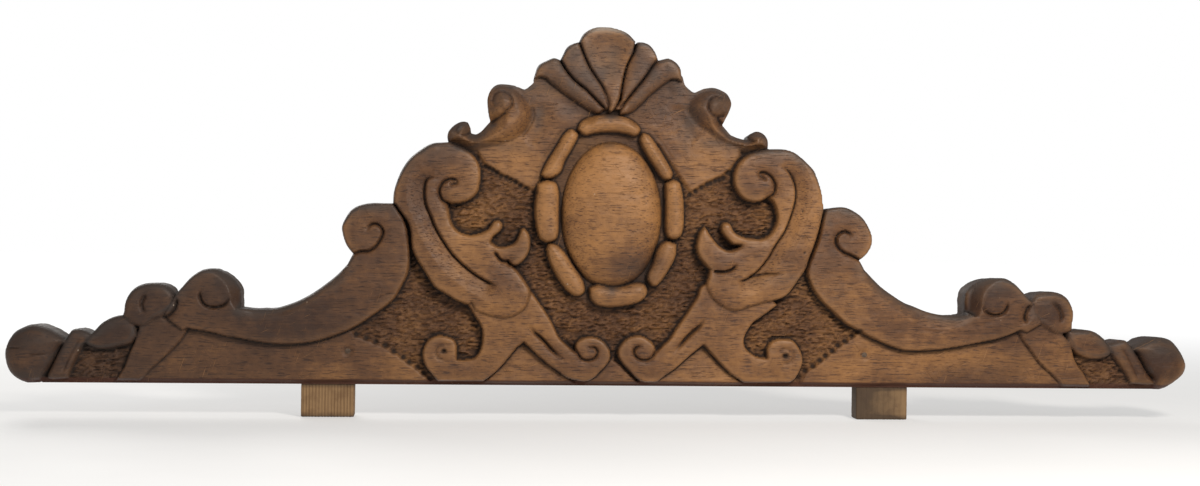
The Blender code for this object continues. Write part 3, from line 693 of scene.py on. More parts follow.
# Rows of punched dots along the edge of the smooth land.
dots = {
    "lowerLeft": (-1, [(214, 70), (206, 67), (198, 64), (190, 61), (183, 56), (175, 51), (170, 47),
                       (163, 43), (158, 38), (153, 33)]),
    "lowerRight": (1, [(212, 76), (207, 72), (201, 67.5), (195, 64), (190, 59), (184, 55), (179, 51),
                       (173, 46), (166, 42), (160, 37)]),
    "upperLeft": (-1, [(105, 212), (102, 210.5), (99, 209), (96, 207), (92, 204), (88, 203), (84, 201),
                       (80, 199.5), (76, 196.5), (71, 194), (64, 191)]),
    "upperRight": (1, [(101, 210), (97, 205.5), (93.5, 204), (90, 203), (86, 201), (83, 200), (78, 197),
                       (73, 194), (68, 191)]),
}
dotLook = {"halfX": 2.1, "halfZ": 1.35, "depth": 4.6, "turn": 0.35, "dirtAndShade": 2.0}
pits = []
for side, points in dots.values():
    for point in points:
        x, z = place(point, side)
        dent(x, z, dotLook["halfX"], dotLook["halfZ"], dotLook["depth"], turn=side * dotLook["turn"])
        pits.append((x, z, dotLook["dirtAndShade"]))
# The eyes of the curls, and small marks: side, place, half width, half height and depth.
eyes = {
    "leftCurl": (-1, (141, 57), 2.0, 1.3, 4.0),
    "rightCurl": (1, (148, 55), 2.4, 1.3, 3.6),
    "rightMark": (1, (164, 143), 0.9, 0.9, 1.2),
    "rightMarkUp": (1, (163, 178), 0.8, 0.8, 1.0),
}
for side, point, halfX, halfZ, depth in eyes.values():
    x, z = place(point, side)
    dent(x, z, halfX, halfZ, depth)
    pits.append((x, z, halfX))

# The punched ground: a low random roughness and many small overlapping dents.
punching = {
    "spacing": 2.7,          # from one row of dents to the next
    "wider": 1.35,           # how much wider apart they are along a row
    "scatter": 1.1,          # how far a dent may be from its place in the rows
    "halfX": 2.9, "halfZ": 0.85, "sizes": (0.75, 1.35),
    "depth": 2.1, "depths": (0.5, 1.25),
    "turn": (0.08, 0.26),    # the usual turn of a dent and how much it varies
    "rough": 1.0,
    "top": 300, "ends": 470,     # the dents reach this high and this far out
    "fewest": 0.35,          # no dents where the ground has faded below this
}
ground = smooth((0.6 - carved) / 2.2) * (1 - smoothed) * smooth((solid + 1) / 3)
ground *= smooth((fromOval - oval["rim"]) * 20)
before = height.copy()
height += punching["rough"] * (softNoise(5.0, 3.2) + 0.7 * softNoise(2.4, 1.8)) * ground
spotsX = np.arange(-punching["ends"], punching["ends"], punching["spacing"] * punching["wider"])
spotsZ = np.arange(lowZ, punching["top"], punching["spacing"])
spots = np.array([(x, z) for z in spotsZ for x in spotsX])
spots = spots + rng.uniform(-punching["scatter"], punching["scatter"], spots.shape)
columnAt = np.clip(np.searchsorted(gridX, spots[:, 0]), 0, len(gridX) - 1)
rowAt = np.clip(np.searchsorted(gridZ, spots[:, 1]), 0, len(gridZ) - 1)
spots = spots[ground[rowAt, columnAt] > punching["fewest"]]
for x, z in spots:
    size = rng.uniform(*punching["sizes"])
    dent(x, z, punching["halfX"] * size, punching["halfZ"] * size,
         punching["depth"] * rng.uniform(*punching["depths"]), turn=rng.normal(*punching["turn"]))
height = before + (height - before) * np.maximum(ground, 0.0)
height = np.maximum(height, board["lowest"])
print("ground punched with", len(spots), "dents")

# Unevenness from the gouge, and the chamfer along the bottom edge.
lowChamfer = {
    "top": 32.3, "height": 3.2, "wander": 0.4, "start": 1.0, "fall": 1.6, "ends": 480, "endSoft": 8,
}
onWood = smooth((solid + 0.5) / 3)
height += board["waviness"] * (softNoise(15, 9) + 0.62 * softNoise(5.5, 3.6)) * onWood * (1 - ground)
chamfer = lowChamfer["top"] - allZ + lowChamfer["wander"] * softNoise(40, 400)
chamfer = np.clip(chamfer / lowChamfer["height"], 0, 1)
inBottom = smooth((lowChamfer["ends"] - np.abs(allX)) / lowChamfer["endSoft"])
cutAway = (-lowChamfer["start"] - lowChamfer["fall"] * chamfer) * chamfer * inBottom
height = height * (1 - chamfer * inBottom) + cutAway
limit, over = board["highest"], board["highestSoft"]
rounded = limit - over + over * np.tanh((height - limit + over) / over)
height = np.where(height > limit - over, rounded, height)

# The peg heads sit in shallow rings.
pegSeat = {
    "reach": 6, "soft": 2.5, "under": 0.25, "ringRadius": 2.9, "ringWidth": 0.6, "ringDepth": 0.25,
}
for word in sides:
    low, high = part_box("tenon_peg_" + word)
    x, z = (low.x + high.x) / 2 / mm, (low.z + high.z) / 2 / mm
    flush = (groundY - low.y) / mm
    out = np.hypot(allX - x, allZ - z)
    seat = height + (flush - pegSeat["under"] - height) * smooth((pegSeat["reach"] - out) / pegSeat["soft"])
    height = np.where(out < pegSeat["reach"], seat, height)
    height -= pegSeat["ringDepth"] * np.exp(-((out - pegSeat["ringRadius"]) / pegSeat["ringWidth"]) ** 2)

# What the surface's shape says about its wear and its light: dirt and painted shade in the hollows, polish
# on the ridges, and old dark finish with painted shade on what faces up. Depths and widths are in mm,
# amounts from 0 to 1.
wear = {
    "fineWidth": 1.2, "fineDepth": 1.4, "fineDirtAndShade": 0.75,
    "broadWidth": 4.5, "broadDepth": 5.0, "broadDirtAndShade": 0.6,
    "pitDirtAndShade": 1.5, "pitSpread": 1.1,
    "valleyShade": 0.55, "valleyEdge": 0.08,
    "outlineWidth": 2.5, "finishAndShadeReach": 11.5,
    "topFrom": 246, "topOver": 45, "topFinish": 0.55,
}
shape = np.where(solid > -0.5, height, -7)
fine, broad = spread(shape, wear["fineWidth"]), spread(shape, wear["broadWidth"])
# Dirt and painted shade in the hollows and creases.
cavity = (np.clip((fine - shape) / wear["fineDepth"], 0, 1) * wear["fineDirtAndShade"]
          + np.clip((broad - shape) / wear["broadDepth"], 0, 1) * wear["broadDirtAndShade"])
# Painted shade, with dirt, in the punched dots and the eyes of the curls.
for x, z, size in pits:
    distance2 = (allX - x) ** 2 + (allZ - z) ** 2
    cavity = np.maximum(cavity, wear["pitDirtAndShade"] * np.exp(-distance2 / (wear["pitSpread"] * size**2)))
# Painted shade in the valley between the oval and its ring of beads.
valley = (smooth((fromOval - oval["rim"]) / wear["valleyEdge"])
          * smooth((oval["ring"] - fromOval) / wear["valleyEdge"]) * smooth((1.6 - carved) / 2.0))
cavity = np.clip(np.maximum(cavity, wear["valleyShade"] * valley), 0, 1)
worn = np.clip((shape - broad) / wear["broadDepth"], 0, 1)
outline = spread(solid, wear["outlineWidth"])
slopeZ, slopeX = np.gradient(outline, board["gridStep"])
upward = np.clip(-slopeZ / (np.hypot(slopeX, slopeZ) + 0.05), 0, 1)
# Old finish and painted shade on the edges of the outline that face up.
patina = smooth(1.05 - np.maximum(solid, 0) / wear["finishAndShadeReach"]) * smooth(upward * 1.5)
patina *= 0.75 + 0.5 * softNoise(22, 12)
nearTop = smooth((allZ - wear["topFrom"]) / wear["topOver"])
patina = np.maximum(patina, wear["topFinish"] * nearTop * (1 + 0.7 * softNoise(11, 14)))
# Painted shade, with old finish, on slopes that face up.
fallZ = -np.gradient(spread(shape, 1.5), board["gridStep"], axis=0)
facingUpShade = smooth(fallZ / 0.9 - 0.35) * smooth(1.2 - np.maximum(solid, 0) / 13) * (solid > -1)
patina = np.maximum(patina, facingUpShade)


def cloudRound(x, z, halfX, halfZ):
    return np.exp(-(((allX - x) / halfX) ** 2) - ((allZ - z) / halfZ) ** 2)


# Places darker or lighter, from age and from painted light and shade: x (negative on the left), z, half
# width, half height, amount.
places = {
    # Old finish and painted shade: the tops of the curls, round the ends and under the upper scrolls.
    "oldFinishAndShade": [       # left dark on the tops of the curls and round the ends
        (-85, 276, 22, 13, 0.75), (88, 275, 22, 13, 0.7), (-54, 299, 13, 11, 0.75),
        (52, 301, 13, 11, 0.75), (-128, 243, 13, 8, 0.7), (130, 240, 13, 8, 0.6),
        (-150, 224, 34, 10, 0.5), (150, 227, 34, 10, 0.4), (-30, 312, 9, 9, 0.5), (32, 312, 9, 9, 0.5),
        (-4, 322, 20, 7, 0.35), (66, 252, 9, 20, 0.8), (-62, 256, 7, 16, 0.6), (88, 235, 18, 6, 0.6),
        (-92, 229, 20, 5, 0.5), (57, 287, 14, 6, 0.5), (-57, 286, 14, 6, 0.5), (-203, 178, 20, 8, 0.45),
        (205, 178, 20, 8, 0.35), (326, 118, 28, 10, 0.75), (-322, 118, 28, 10, 0.4),
        (375, 104, 20, 8, 0.5), (480, 63, 24, 9, 0.7), (-480, 64, 26, 9, 0.6), (-478, 33, 24, 7, 0.55),
        (20, 128, 22, 10, 0.35), (146, 120, 22, 5, 0.4), (-30, 262, 24, 7, 0.4), (36, 263, 24, 7, 0.4),
    ],
    # Broad lighter and darker wood, with painted light and shade: the left end darkened and the right
    # lightened as the key lamp falls off, and shade beside and under pieces.
    "paleOrDarkAndLit": [      # broad lighter and darker wood
        (-115, 160, 26, 26, 0.16), (-150, 200, 30, 30, -0.04), (-92, 95, 30, 22, 0.10),
        (92, 92, 30, 22, 0.02), (0, 185, 30, 40, 0.08), (20, 136, 34, 26, -0.22),
        (-205, 150, 32, 34, -0.02), (-300, 82, 70, 24, -0.16), (-470, 50, 34, 30, -0.16),
        (-385, 95, 40, 26, -0.14), (-330, 105, 26, 26, -0.12), (250, 80, 110, 60, 0.20),
        (165, 190, 26, 46, 0.14), (330, 50, 80, 20, 0.16), (-484, 47, 13, 9, 0.30),
        (-150, 130, 60, 70, 0.06), (110, 80, 60, 60, 0.10), (85, 225, 30, 26, 0.10),
        (-85, 225, 30, 26, 0.10), (-250, 45, 90, 18, 0.10), (-75, 250, 30, 22, 0.04),
        (88, 262, 26, 20, -0.12), (0, 295, 34, 24, 0.06), (455, 45, 60, 26, 0.08),
        (380, 90, 34, 24, -0.02), (326, 112, 30, 14, -0.2),
        (309, 104, 8, 14, -0.4), (-309, 104, 8, 14, -0.3), (472, 62, 24, 8, -0.2),
        (375, 96, 18, 14, -0.12), (470, 50, 30, 26, -0.1), (300, 78, 60, 20, -0.1),
        (82, 268, 22, 18, -0.1), (-85, 268, 22, 18, -0.12), (-28, 262, 30, 12, -0.12),
        (40, 262, 26, 12, -0.1), (20, 128, 26, 16, -0.1), (-20, 210, 22, 26, 0.06),
        (-60, 120, 60, 30, -0.04), (70, 120, 50, 30, -0.04), (-28, 50, 26, 20, -0.04),
        (28, 50, 26, 20, -0.06), (148, 52, 22, 20, -0.04), (-142, 50, 22, 20, -0.08),
    ],
}
for *where, amount in places["oldFinishAndShade"]:
    patina = np.maximum(patina, amount * cloudRound(*where) * (1 + 0.3 * softNoise(9, 7)))
patina = np.clip(patina, 0, 1)
tone = spread(tone, 1.2)
for *where, amount in places["paleOrDarkAndLit"]:
    tone += amount * cloudRound(*where)
print("surface wear worked out")


def addItem(name, data):
    item = bpy.data.objects.new(name, data)
    bpy.context.scene.collection.objects.link(item)
    return item


def makeMesh(name, points, faces, layers, skins):
    mesh = bpy.data.meshes.new(name)
    mesh.from_pydata(points, [], faces)
    for key, values in layers.items():
        layer = mesh.attributes.new(key, "FLOAT", "POINT")
        layer.data.foreach_set("value", values.astype(np.float32))
    for skin in skins:
        mesh.materials.append(skin)
    mesh.polygons.foreach_set("use_smooth", np.ones(len(mesh.polygons), bool))
    return mesh


def sample(field, x, row):
    # The field's value between the grid's points, at an x in mm and a row that may be fractional.
    column = np.clip((x - gridX[0]) / board["gridStep"], 0, field.shape[1] - 1.001)
    row = np.clip(row, 0, field.shape[0] - 1.001)
    c, r = column.astype(int), row.astype(int)
    u, v = column - c, row - r
    return ((field[r, c] * (1 - u) + field[r, c + 1] * u) * (1 - v)
            + (field[r + 1, c] * (1 - u) + field[r + 1, c + 1] * u) * v)


sawnSide = {
    "nearest": 1.3,          # a point this near to the outline, in mm, is moved onto it
    "mostMove": 1.2,
    "chatter": 0.16,         # unevenness of the sawn sides
    "sharpFrom": 58,         # degrees
    # The sawn sides are darkened, more towards the back, and given painted shade with old finish on their
    # upward faces.
    "dirtAndShade": 0.12, "finish": 0.35, "finishAndShadeOnTop": 0.5, "tone": -0.2,
}


def plankMesh(name, rows, skins, flatTop):
    # One plank as a closed mesh: its carved front, its sawn sides and its flat back.
    start = np.searchsorted(gridZ, rows[0])
    part = slice(start, start + len(rows))
    inside, high = solid[part], height[part]
    middle = (inside[:-1, :-1] + inside[1:, :-1] + inside[:-1, 1:] + inside[1:, 1:]) / 4
    cells = middle > 0
    for _ in range(3):                                   # no two cells may touch at a corner only
        a, b, c, d = cells[:-1, :-1], cells[:-1, 1:], cells[1:, :-1], cells[1:, 1:]
        cells[1:, 1:] |= (a & ~b & ~c & d)
        cells[:-1, 1:] |= (a & ~b & ~c & d)
        cells[1:, 1:] |= (~a & b & c & ~d)
    count = np.zeros(inside.shape, int)
    for dr in (0, 1):
        for dc in (0, 1):
            count[dr:dr + cells.shape[0], dc:dc + cells.shape[1]] += cells
    used = count > 0
    number = np.full(inside.shape, -1)
    number[used] = np.arange(used.sum())
    x, z = np.meshgrid(gridX, rows)
    gz, gx = np.gradient(inside, rows, gridX)
    steep = np.maximum(gx**2 + gz**2, 0.2)
    near = used & (count < 4) & (np.abs(inside) < sawnSide["nearest"])
    move = np.clip(inside / steep, -sawnSide["mostMove"], sawnSide["mostMove"])
    x = np.where(near, x - move * gx, x)
    rise = np.where(near, z - move * gz, z)
    flat = np.zeros(inside.shape, bool)
    flat[0] = True
    flat[-1] = flatTop
    z = np.where(flat, z, np.clip(rise, rows[0], None))
    rowOf = np.interp(z, rows, np.arange(len(rows)))
    fields = {"height": high, "cavity": cavity[part], "worn": worn[part], "patina": patina[part],
              "tone": tone[part], "punched": ground[part]}
    px, pz, pr = x[used], z[used], rowOf[used]
    found = {key: sample(values, px, pr) for key, values in fields.items()}
    front = np.column_stack([px * mm, groundY - found["height"] * mm, pz * mm])
    r, c = np.nonzero(cells)
    quads = np.column_stack([number[r, c], number[r, c + 1], number[r + 1, c + 1], number[r + 1, c]])

    # Walk round the cells, along each edge whose neighbour below, right, above or left is empty.
    padded = np.pad(cells, 1)
    edges = []
    for corner, (dr, dc) in enumerate(((-1, 0), (0, 1), (1, 0), (0, -1))):
        bare = ~padded[r + 1 + dr, c + 1 + dc]
        edges.append(quads[bare][:, [corner, (corner + 1) % 4]])
    edges = np.concatenate(edges)
    following = dict(map(tuple, edges.tolist()))
    loops = []
    while following:
        first = min(following)
        loop, at = [], first
        while at in following:
            loop.append(at)
            at = following.pop(at)
        loops.append(np.array(loop))

    points, faces = [front], quads.tolist()
    extra = {key: [values] for key, values in found.items() if key != "height"}
    normals = np.column_stack([-gx[used], -gz[used]])
    normals /= np.maximum(np.linalg.norm(normals, axis=1, keepdims=True), 1e-6)
    isFlat = (flat & (inside > 1.0))[used]
    fixZ = flat[used]
    total, backs = len(front), []
    steps = board["wallSteps"]
    for loop in loops:
        ring = loop
        n = normals[loop].copy()
        n[isFlat[loop]] = 0
        n[fixZ[loop], 1] = 0
        wave = rng.normal(0, sawnSide["chatter"], (steps + 1, len(loop)))
        wave = (wave + np.roll(wave, 1, 1) + np.roll(wave, 2, 1)
                + np.roll(wave, -1, 1) + np.roll(wave, -2, 1)) / 2.4
        for step in range(1, steps + 1):
            t = step / steps
            shift = (-board["wallTaper"] * t + wave[step] * min(1, 2 * t))[:, None] * n * mm
            level = front[loop].copy()
            level[:, [0, 2]] += shift
            level[:, 1] += (backY - level[:, 1]) * t
            new = np.arange(total, total + len(loop))
            points.append(level)
            up = np.clip(n[:, 1], 0, 1)
            # Sides darker towards the back; painted shade with old finish where they face up.
            extra["cavity"].append(np.full(len(loop), sawnSide["dirtAndShade"] + sawnSide["dirtAndShade"] * t))
            extra["worn"].append(np.zeros(len(loop)))
            extra["patina"].append(np.clip(sawnSide["finish"] + sawnSide["finishAndShadeOnTop"] * up, 0, 1))
            extra["tone"].append(np.full(len(loop), sawnSide["tone"]))
            extra["punched"].append(np.zeros(len(loop)))
            ahead, newAhead = np.roll(ring, -1), np.roll(new, -1)
            faces += np.column_stack([ahead, ring, new, newAhead]).tolist()
            total += len(loop)
            ring = new
        backs.append(len(faces))
        faces.append(ring[::-1].tolist())
    layers = {key: np.concatenate(values) for key, values in extra.items()}
    mesh = makeMesh(name, np.concatenate(points), faces, layers, skins)
    for index in backs:
        mesh.polygons[index].material_index = 1
    mesh.set_sharp_from_angle(angle=math.radians(sawnSide["sharpFrom"]))
    mesh.validate()
    print(name, "has", len(faces), "faces in", len(loops), "loop(s)")
    return addItem(name, mesh)


class Wire:
    # One socket, with sums written as Python expressions.
    def __init__(self, paint, socket):
        self.paint, self.socket = paint, socket

    def maths(self, operation, *values):
        return self.paint.add("ShaderNodeMath", {"operation": operation}, dict(enumerate(values)))

    def __add__(self, other): return self.maths("ADD", self, other)
    def __radd__(self, other): return self.maths("ADD", other, self)
    def __sub__(self, other): return self.maths("SUBTRACT", self, other)
    def __rsub__(self, other): return self.maths("SUBTRACT", other, self)
    def __mul__(self, other): return self.maths("MULTIPLY", self, other)
    def __rmul__(self, other): return self.maths("MULTIPLY", other, self)
    def __truediv__(self, other): return self.maths("DIVIDE", self, other)
    def __rtruediv__(self, other): return self.maths("DIVIDE", other, self)
    def __pow__(self, other): return self.maths("POWER", self, other)
    def __rpow__(self, other): return self.maths("POWER", other, self)

    def sine(self):
        return self.maths("SINE", self)

    def clamp(self):
        return self.paint.add("ShaderNodeClamp", {}, {"Value": self})

    def between(self, low, high):
        return self.paint.add("ShaderNodeMapRange", {"interpolation_type": "SMOOTHSTEP"},
                              {"Value": self, "From Min": low, "From Max": high})


class Paint:
    def __init__(self, name, looks):
        self.material = bpy.data.materials.new(name)
        self.material.use_nodes = True
        self.tree = self.material.node_tree
        self.shader = self.tree.nodes["Principled BSDF"]
        self.material.diffuse_color = (*looks["swatch"], 1)
        for key, value in looks.get("fixed", {}).items():
            self.shader.inputs[key].default_value = value

    def add(self, kind, settings, sockets, output=0):
        node = self.tree.nodes.new(kind)
        for key, value in settings.items():
            if key == "stops":
                ramp = node.color_ramp
                while len(ramp.elements) < len(value):
                    ramp.elements.new(0.5)
                for element, (at, colour) in zip(ramp.elements, value):
                    element.position = at
                    element.color = (*colour, 1)
            else:
                setattr(node, key, value)
        for key, value in sockets.items():
            if isinstance(value, Wire):
                self.tree.links.new(value.socket, node.inputs[key])
            else:
                node.inputs[key].default_value = value
        return Wire(self, node.outputs[output])

    def place(self):
        return self.add("ShaderNodeTexCoord", {}, {}, "Object")

    def axis(self, place, name):
        return self.add("ShaderNodeSeparateXYZ", {}, {"Vector": place}, name)

    def attribute(self, name):
        return self.add("ShaderNodeAttribute", {"attribute_name": name}, {}, "Fac")

    def mix(self, factor, a, b):
        a = (*a, 1) if isinstance(a, tuple) else a
        b = (*b, 1) if isinstance(b, tuple) else b
        # A Mix node's sockets 6 and 7 and its output 2 are its colour ones.
        return self.add("ShaderNodeMix", {"data_type": "RGBA", "clamp_factor": True},
                        {0: factor, 6: a, 7: b}, 2)

    def stretch(self, place, scale):
        return self.add("ShaderNodeVectorMath", {"operation": "MULTIPLY"}, {0: place, 1: scale})

    def noise(self, place, scale=1.0, detail=4.0, roughness=0.55):
        return self.add("ShaderNodeTexNoise", {}, {"Vector": place, "Scale": scale, "Detail": detail,
                                                   "Roughness": roughness}, "Fac")

    def bump(self, height, strength, distance):
        return self.add("ShaderNodeBump", {}, {"Height": height, "Strength": strength, "Distance": distance})

    def feed(self, **values):
        names = {"baseColor": "Base Color", "roughness": "Roughness", "normal": "Normal",
                 "glow": "Emission Color"}
        for key, value in values.items():
            self.tree.links.new(value.socket, self.shader.inputs[names[key]])


walnut = {
    "swatch": (0.22, 0.12, 0.065),
    "fixed": {"Specular IOR Level": 0.29},
    "dark": (0.036, 0.014, 0.0058),
    "middle": (0.104, 0.044, 0.0156),
    "light": (0.258, 0.118, 0.0365),
    # The grime, patina and red edge colours also paint shade: in the hollows, on upward faces and on the
    # bottom chamfer.
    "grimeAndShade": (0.012, 0.007, 0.005),
    "polish": (0.315, 0.155, 0.058),
    "patina": (0.036, 0.028, 0.024),
    "reddishBounceShade": (0.048, 0.014, 0.006),
    "pale": (0.37, 0.29, 0.22),
    "roughness": 0.55,
    "streaks": (12.0, 260.0, 330.0),         # how many of each to a metre, along, through and up
    "figure": (4.5, 40.0, 46.0),
    "pores": (90.0, 900.0, 1100.0),
    "lip": (0.3235, 0.3290),                 # heights that the shell's worn lip fades in between
    "lowStripShade": (0.0314, 0.0332),            # and that the reddish strip fades out between
    "scratches": ((1.25, "polish"), (-0.95, "dark"), (0.45, "polish")),      # slants in radians
    "scratchSize": (38.0, 60.0, 1500.0),
}


def carvedWalnut():
    paint = Paint("carvedWalnut", walnut)
    place = paint.place()
    x, z = paint.axis(place, "X"), paint.axis(place, "Z")
    cavity, worn = paint.attribute("cavity"), paint.attribute("worn")
    patina, tone, punched = paint.attribute("patina"), paint.attribute("tone"), paint.attribute("punched")

    # Grain runs along the planks: long thin streaks, broad figure and short dark pores.
    wander = paint.noise(paint.stretch(place, (3.0, 9.0, 9.0)), 1.0, 3.0)
    bent = paint.add("ShaderNodeVectorMath", {"operation": "ADD"},
                     {0: place, 1: paint.add("ShaderNodeCombineXYZ", {}, {"Z": (wander - 0.5) * 0.035})})
    streaks = paint.noise(paint.stretch(bent, walnut["streaks"]), 1.0, 5.0, 0.65)
    figure = paint.noise(paint.stretch(bent, walnut["figure"]), 1.0, 3.0, 0.55)
    pores = paint.noise(paint.stretch(place, walnut["pores"]), 1.0, 2.0, 0.6)
    blotch = paint.noise(place, 16.0, 4.0, 0.6)
    stain = paint.noise(place, 48.0, 4.0, 0.65)
    mottle = paint.noise(place, 135.0, 5.0, 0.7)
    wood = (0.5 + (streaks - 0.5) * 0.46 + (figure - 0.5) * 0.20 + (blotch - 0.5) * 0.95 + tone * 1.1
            + (mottle - 0.5) * 0.52 - pores.between(0.55, 0.64) * 0.30)
    colour = paint.add("ShaderNodeValToRGB",
                       {"stops": [(0.12, walnut["dark"]), (0.48, walnut["middle"]),
                                  (0.88, walnut["light"])]},
                       {"Fac": wood}, "Color")
    # Painted shade: the left end is darkened, and its polish held back, as if it lay further from the light.
    leftEndShade = (-0.12 - x).between(-0.12, 0.36)
    polish = (worn * 0.75 - 0.08 + (stain - 0.5) * 0.35).clamp() * (1 - leftEndShade * 0.8)
    colour = paint.mix(polish * 0.6, colour, walnut["polish"])
    colour = paint.mix(punched * 0.16, colour, walnut["dark"])
    # Old finish and painted shade on upward faces, on the curl tops and under the scrolls.
    colour = paint.mix((patina * (0.80 + (stain - 0.40) * 1.1)).clamp() * 0.9, colour, walnut["patina"])
    # Dirt and painted shade in the hollows, the pits and the oval's valley.
    dirtAndShade = (cavity * (0.72 + stain * 0.75) - 0.06).clamp()
    colour = paint.mix(dirtAndShade * 0.93, colour, walnut["grimeAndShade"])

    # Random darker clouds; painted shade on the left end, as if it lay further from the light; and the
    # shell's lip is worn pale.
    cloud = paint.noise(paint.stretch(place, (5.0, 9.0, 9.0)), 1.0, 3.0, 0.55)
    colour = paint.mix(cloud.between(0.52, 0.74) * 0.38, colour, walnut["dark"])
    colour = paint.mix(leftEndShade * 0.30, colour, walnut["patina"])
    lip = z.between(*walnut["lip"]) * (stain * 1.6 + blotch - 0.75).clamp()
    colour = paint.mix(lip * 0.55, colour, walnut["pale"])
    # Painted shade with reddish bounce light on the bottom chamfer, which faces down.
    lowStripShade = 1 - z.between(*walnut["lowStripShade"])
    colour = paint.mix(lowStripShade * (0.75 + stain * 0.25), colour, walnut["reddishBounceShade"])
    specks = paint.add("ShaderNodeTexVoronoi", {}, {"Vector": place, "Scale": 62.0}, "Distance")
    picked = paint.noise(place, 35.0, 1.0).between(0.60, 0.66)
    colour = paint.mix((1 - specks.between(0.03, 0.06)) * picked * 0.6, colour, walnut["pale"])

    # Fine scratches that cross the grain, pale where they are fresh and dark where they are old.
    scratched = paint.noise(place, 22.0, 2.0).between(0.46, 0.6)
    marks = 0.0
    for angle, scratchColour in walnut["scratches"]:
        turned = paint.add("ShaderNodeVectorRotate", {"rotation_type": "Y_AXIS"},
                           {"Vector": place, "Angle": angle})
        lines = paint.noise(paint.stretch(turned, walnut["scratchSize"]), 1.0, 2.0)
        scratch = lines.between(0.67, 0.73) * scratched
        colour = paint.mix(scratch * 0.5, colour, walnut[scratchColour])
        marks = marks + scratch

    rough = (walnut["roughness"] + (stain - 0.5) * 0.30 + cavity * 0.25 - worn * 0.12 + punched * 0.12
             + patina * 0.08).clamp()
    bumps = (streaks * 0.32 + stain * 0.25 + mottle * 0.5 - pores.between(0.55, 0.7) * 0.32 - marks * 0.3
             + paint.noise(place, 620.0, 3.0) * (0.14 + punched * 0.9))
    paint.feed(baseColor=colour, roughness=rough, normal=paint.bump(bumps, 0.6, 0.0009))
    return paint.material


backLook = {
    "swatch": (0.16, 0.085, 0.045),
    "fixed": {"Specular IOR Level": 0.3},
    "light": (0.225, 0.128, 0.066),
    "dark": (0.085, 0.043, 0.021),
    "sawMark": 0.0042,       # metres from one saw mark to the next
    "sawWave": 6.2832,       # once round a sine
    "roughness": 0.74,
}


def sawnBack():
    # The back was left from the saw: upright marks across the grain, and a dry surface.
    paint = Paint("sawnBack", backLook)
    place = paint.place()
    drift = paint.noise(place, 6.0, 3.0)
    phase = (paint.axis(place, "X") + paint.axis(place, "Z") * 0.12 + drift * 0.012) / backLook["sawMark"]
    marks = (phase * backLook["sawWave"]).sine() * 0.5 + 0.5
    streaks = paint.noise(paint.stretch(place, (10.0, 200.0, 240.0)), 1.0, 5.0, 0.6)
    blotch = paint.noise(place, 11.0, 4.0, 0.6)
    mixing = (0.42 + (streaks - 0.5) * 1.1 + (blotch - 0.5) * 1.2 - marks * 0.13).clamp()
    colour = paint.mix(mixing, backLook["dark"], backLook["light"])
    rough = (backLook["roughness"] + (blotch - 0.5) * 0.25 + marks * 0.06).clamp()
    heights = marks * 0.55 + streaks * 0.5 + paint.noise(place, 500.0, 3.0) * 0.4
    paint.feed(baseColor=colour, roughness=rough, normal=paint.bump(heights, 0.5, 0.0008))
    return paint.material


tenonWood = {
    "swatch": (0.40, 0.26, 0.13),
    "fixed": {"Specular IOR Level": 0.3},
    "early": (0.25, 0.150, 0.068),
    "late": (0.105, 0.052, 0.022),
    "soot": (0.030, 0.018, 0.011),
    "roughness": 0.72,
}


def sawnSoftwood():
    paint = Paint("sawnSoftwood", tenonWood)
    place = paint.place()
    rings, soot = paint.attribute("rings"), paint.attribute("soot")
    fibre = paint.noise(paint.stretch(place, (900.0, 900.0, 45.0)), 1.0, 3.0)
    blotch = paint.noise(place, 75.0, 4.0, 0.62)
    colour = paint.mix((rings * 0.8 + (fibre - 0.5) * 0.8).clamp(), tenonWood["early"], tenonWood["late"])
    colour = paint.mix(blotch.between(0.45, 0.72) * 0.5, colour, tenonWood["late"])
    # Soot with painted shade: darker at the foot, under the board and on the left side.
    colour = paint.mix((soot * (0.6 + blotch)).clamp() * 0.85, colour, tenonWood["soot"])
    rough = (tenonWood["roughness"] + (fibre - 0.5) * 0.25).clamp()
    paint.feed(baseColor=colour, roughness=rough, normal=paint.bump(fibre + blotch * 0.4, 0.5, 0.0005))
    return paint.material


beech = {
    "swatch": (0.30, 0.18, 0.10),
    "fixed": {"Specular IOR Level": 0.35},
    "light": (0.46, 0.30, 0.18),
    "dark": (0.20, 0.11, 0.06),
    "roughness": 0.6,
}


def turnedBeech(name, along, dim):
    paint = Paint(name, beech)
    place = paint.place()
    fleck = paint.noise(paint.stretch(place, along), 1.0, 4.0, 0.6)
    colour = paint.mix(fleck.between(0.35, 0.68), tuple(v * dim for v in beech["light"]),
                       tuple(v * dim for v in beech["dark"]))
    rough = (beech["roughness"] + (fleck - 0.5) * 0.3).clamp()
    paint.feed(baseColor=colour, roughness=rough, normal=paint.bump(fleck, 0.4, 0.0004))
    return paint.material


woodSkins = (carvedWalnut(), sawnBack())
for name, rows in rowSets.items():
    # The lower two end in a planed edge for the glue, and the crown in its carved outline.
    item = plankMesh("carved_" + name, rows, woodSkins, name != "crown_plank")
    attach(item, "root")
    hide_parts(name)

# The loose tenons: rip-sawn softwood with raised growth rings and chewed feet.
tenonLook = {
    "left": {"turns": 17, "ridge": 0.28, "stripe": 1.0, "dirtAndShade": 0.0, "seed": 7},
    "right": {"turns": 9, "ridge": 0.05, "stripe": 0.3, "dirtAndShade": 0.7, "seed": 8},
}
tenonShape = {
    "step": 0.8,
    "arris": 1.3,            # the arrises are knocked off to this radius
    "saw": 0.05,             # roughness left by the saw
    "chewed": 0.14, "chewedTo": 5,
    "sootAndShadeFrom": 24, "sootAndShadeOver": 4, "footSootAndShade": 0.8, "topSootAndShade": 0.9,
}


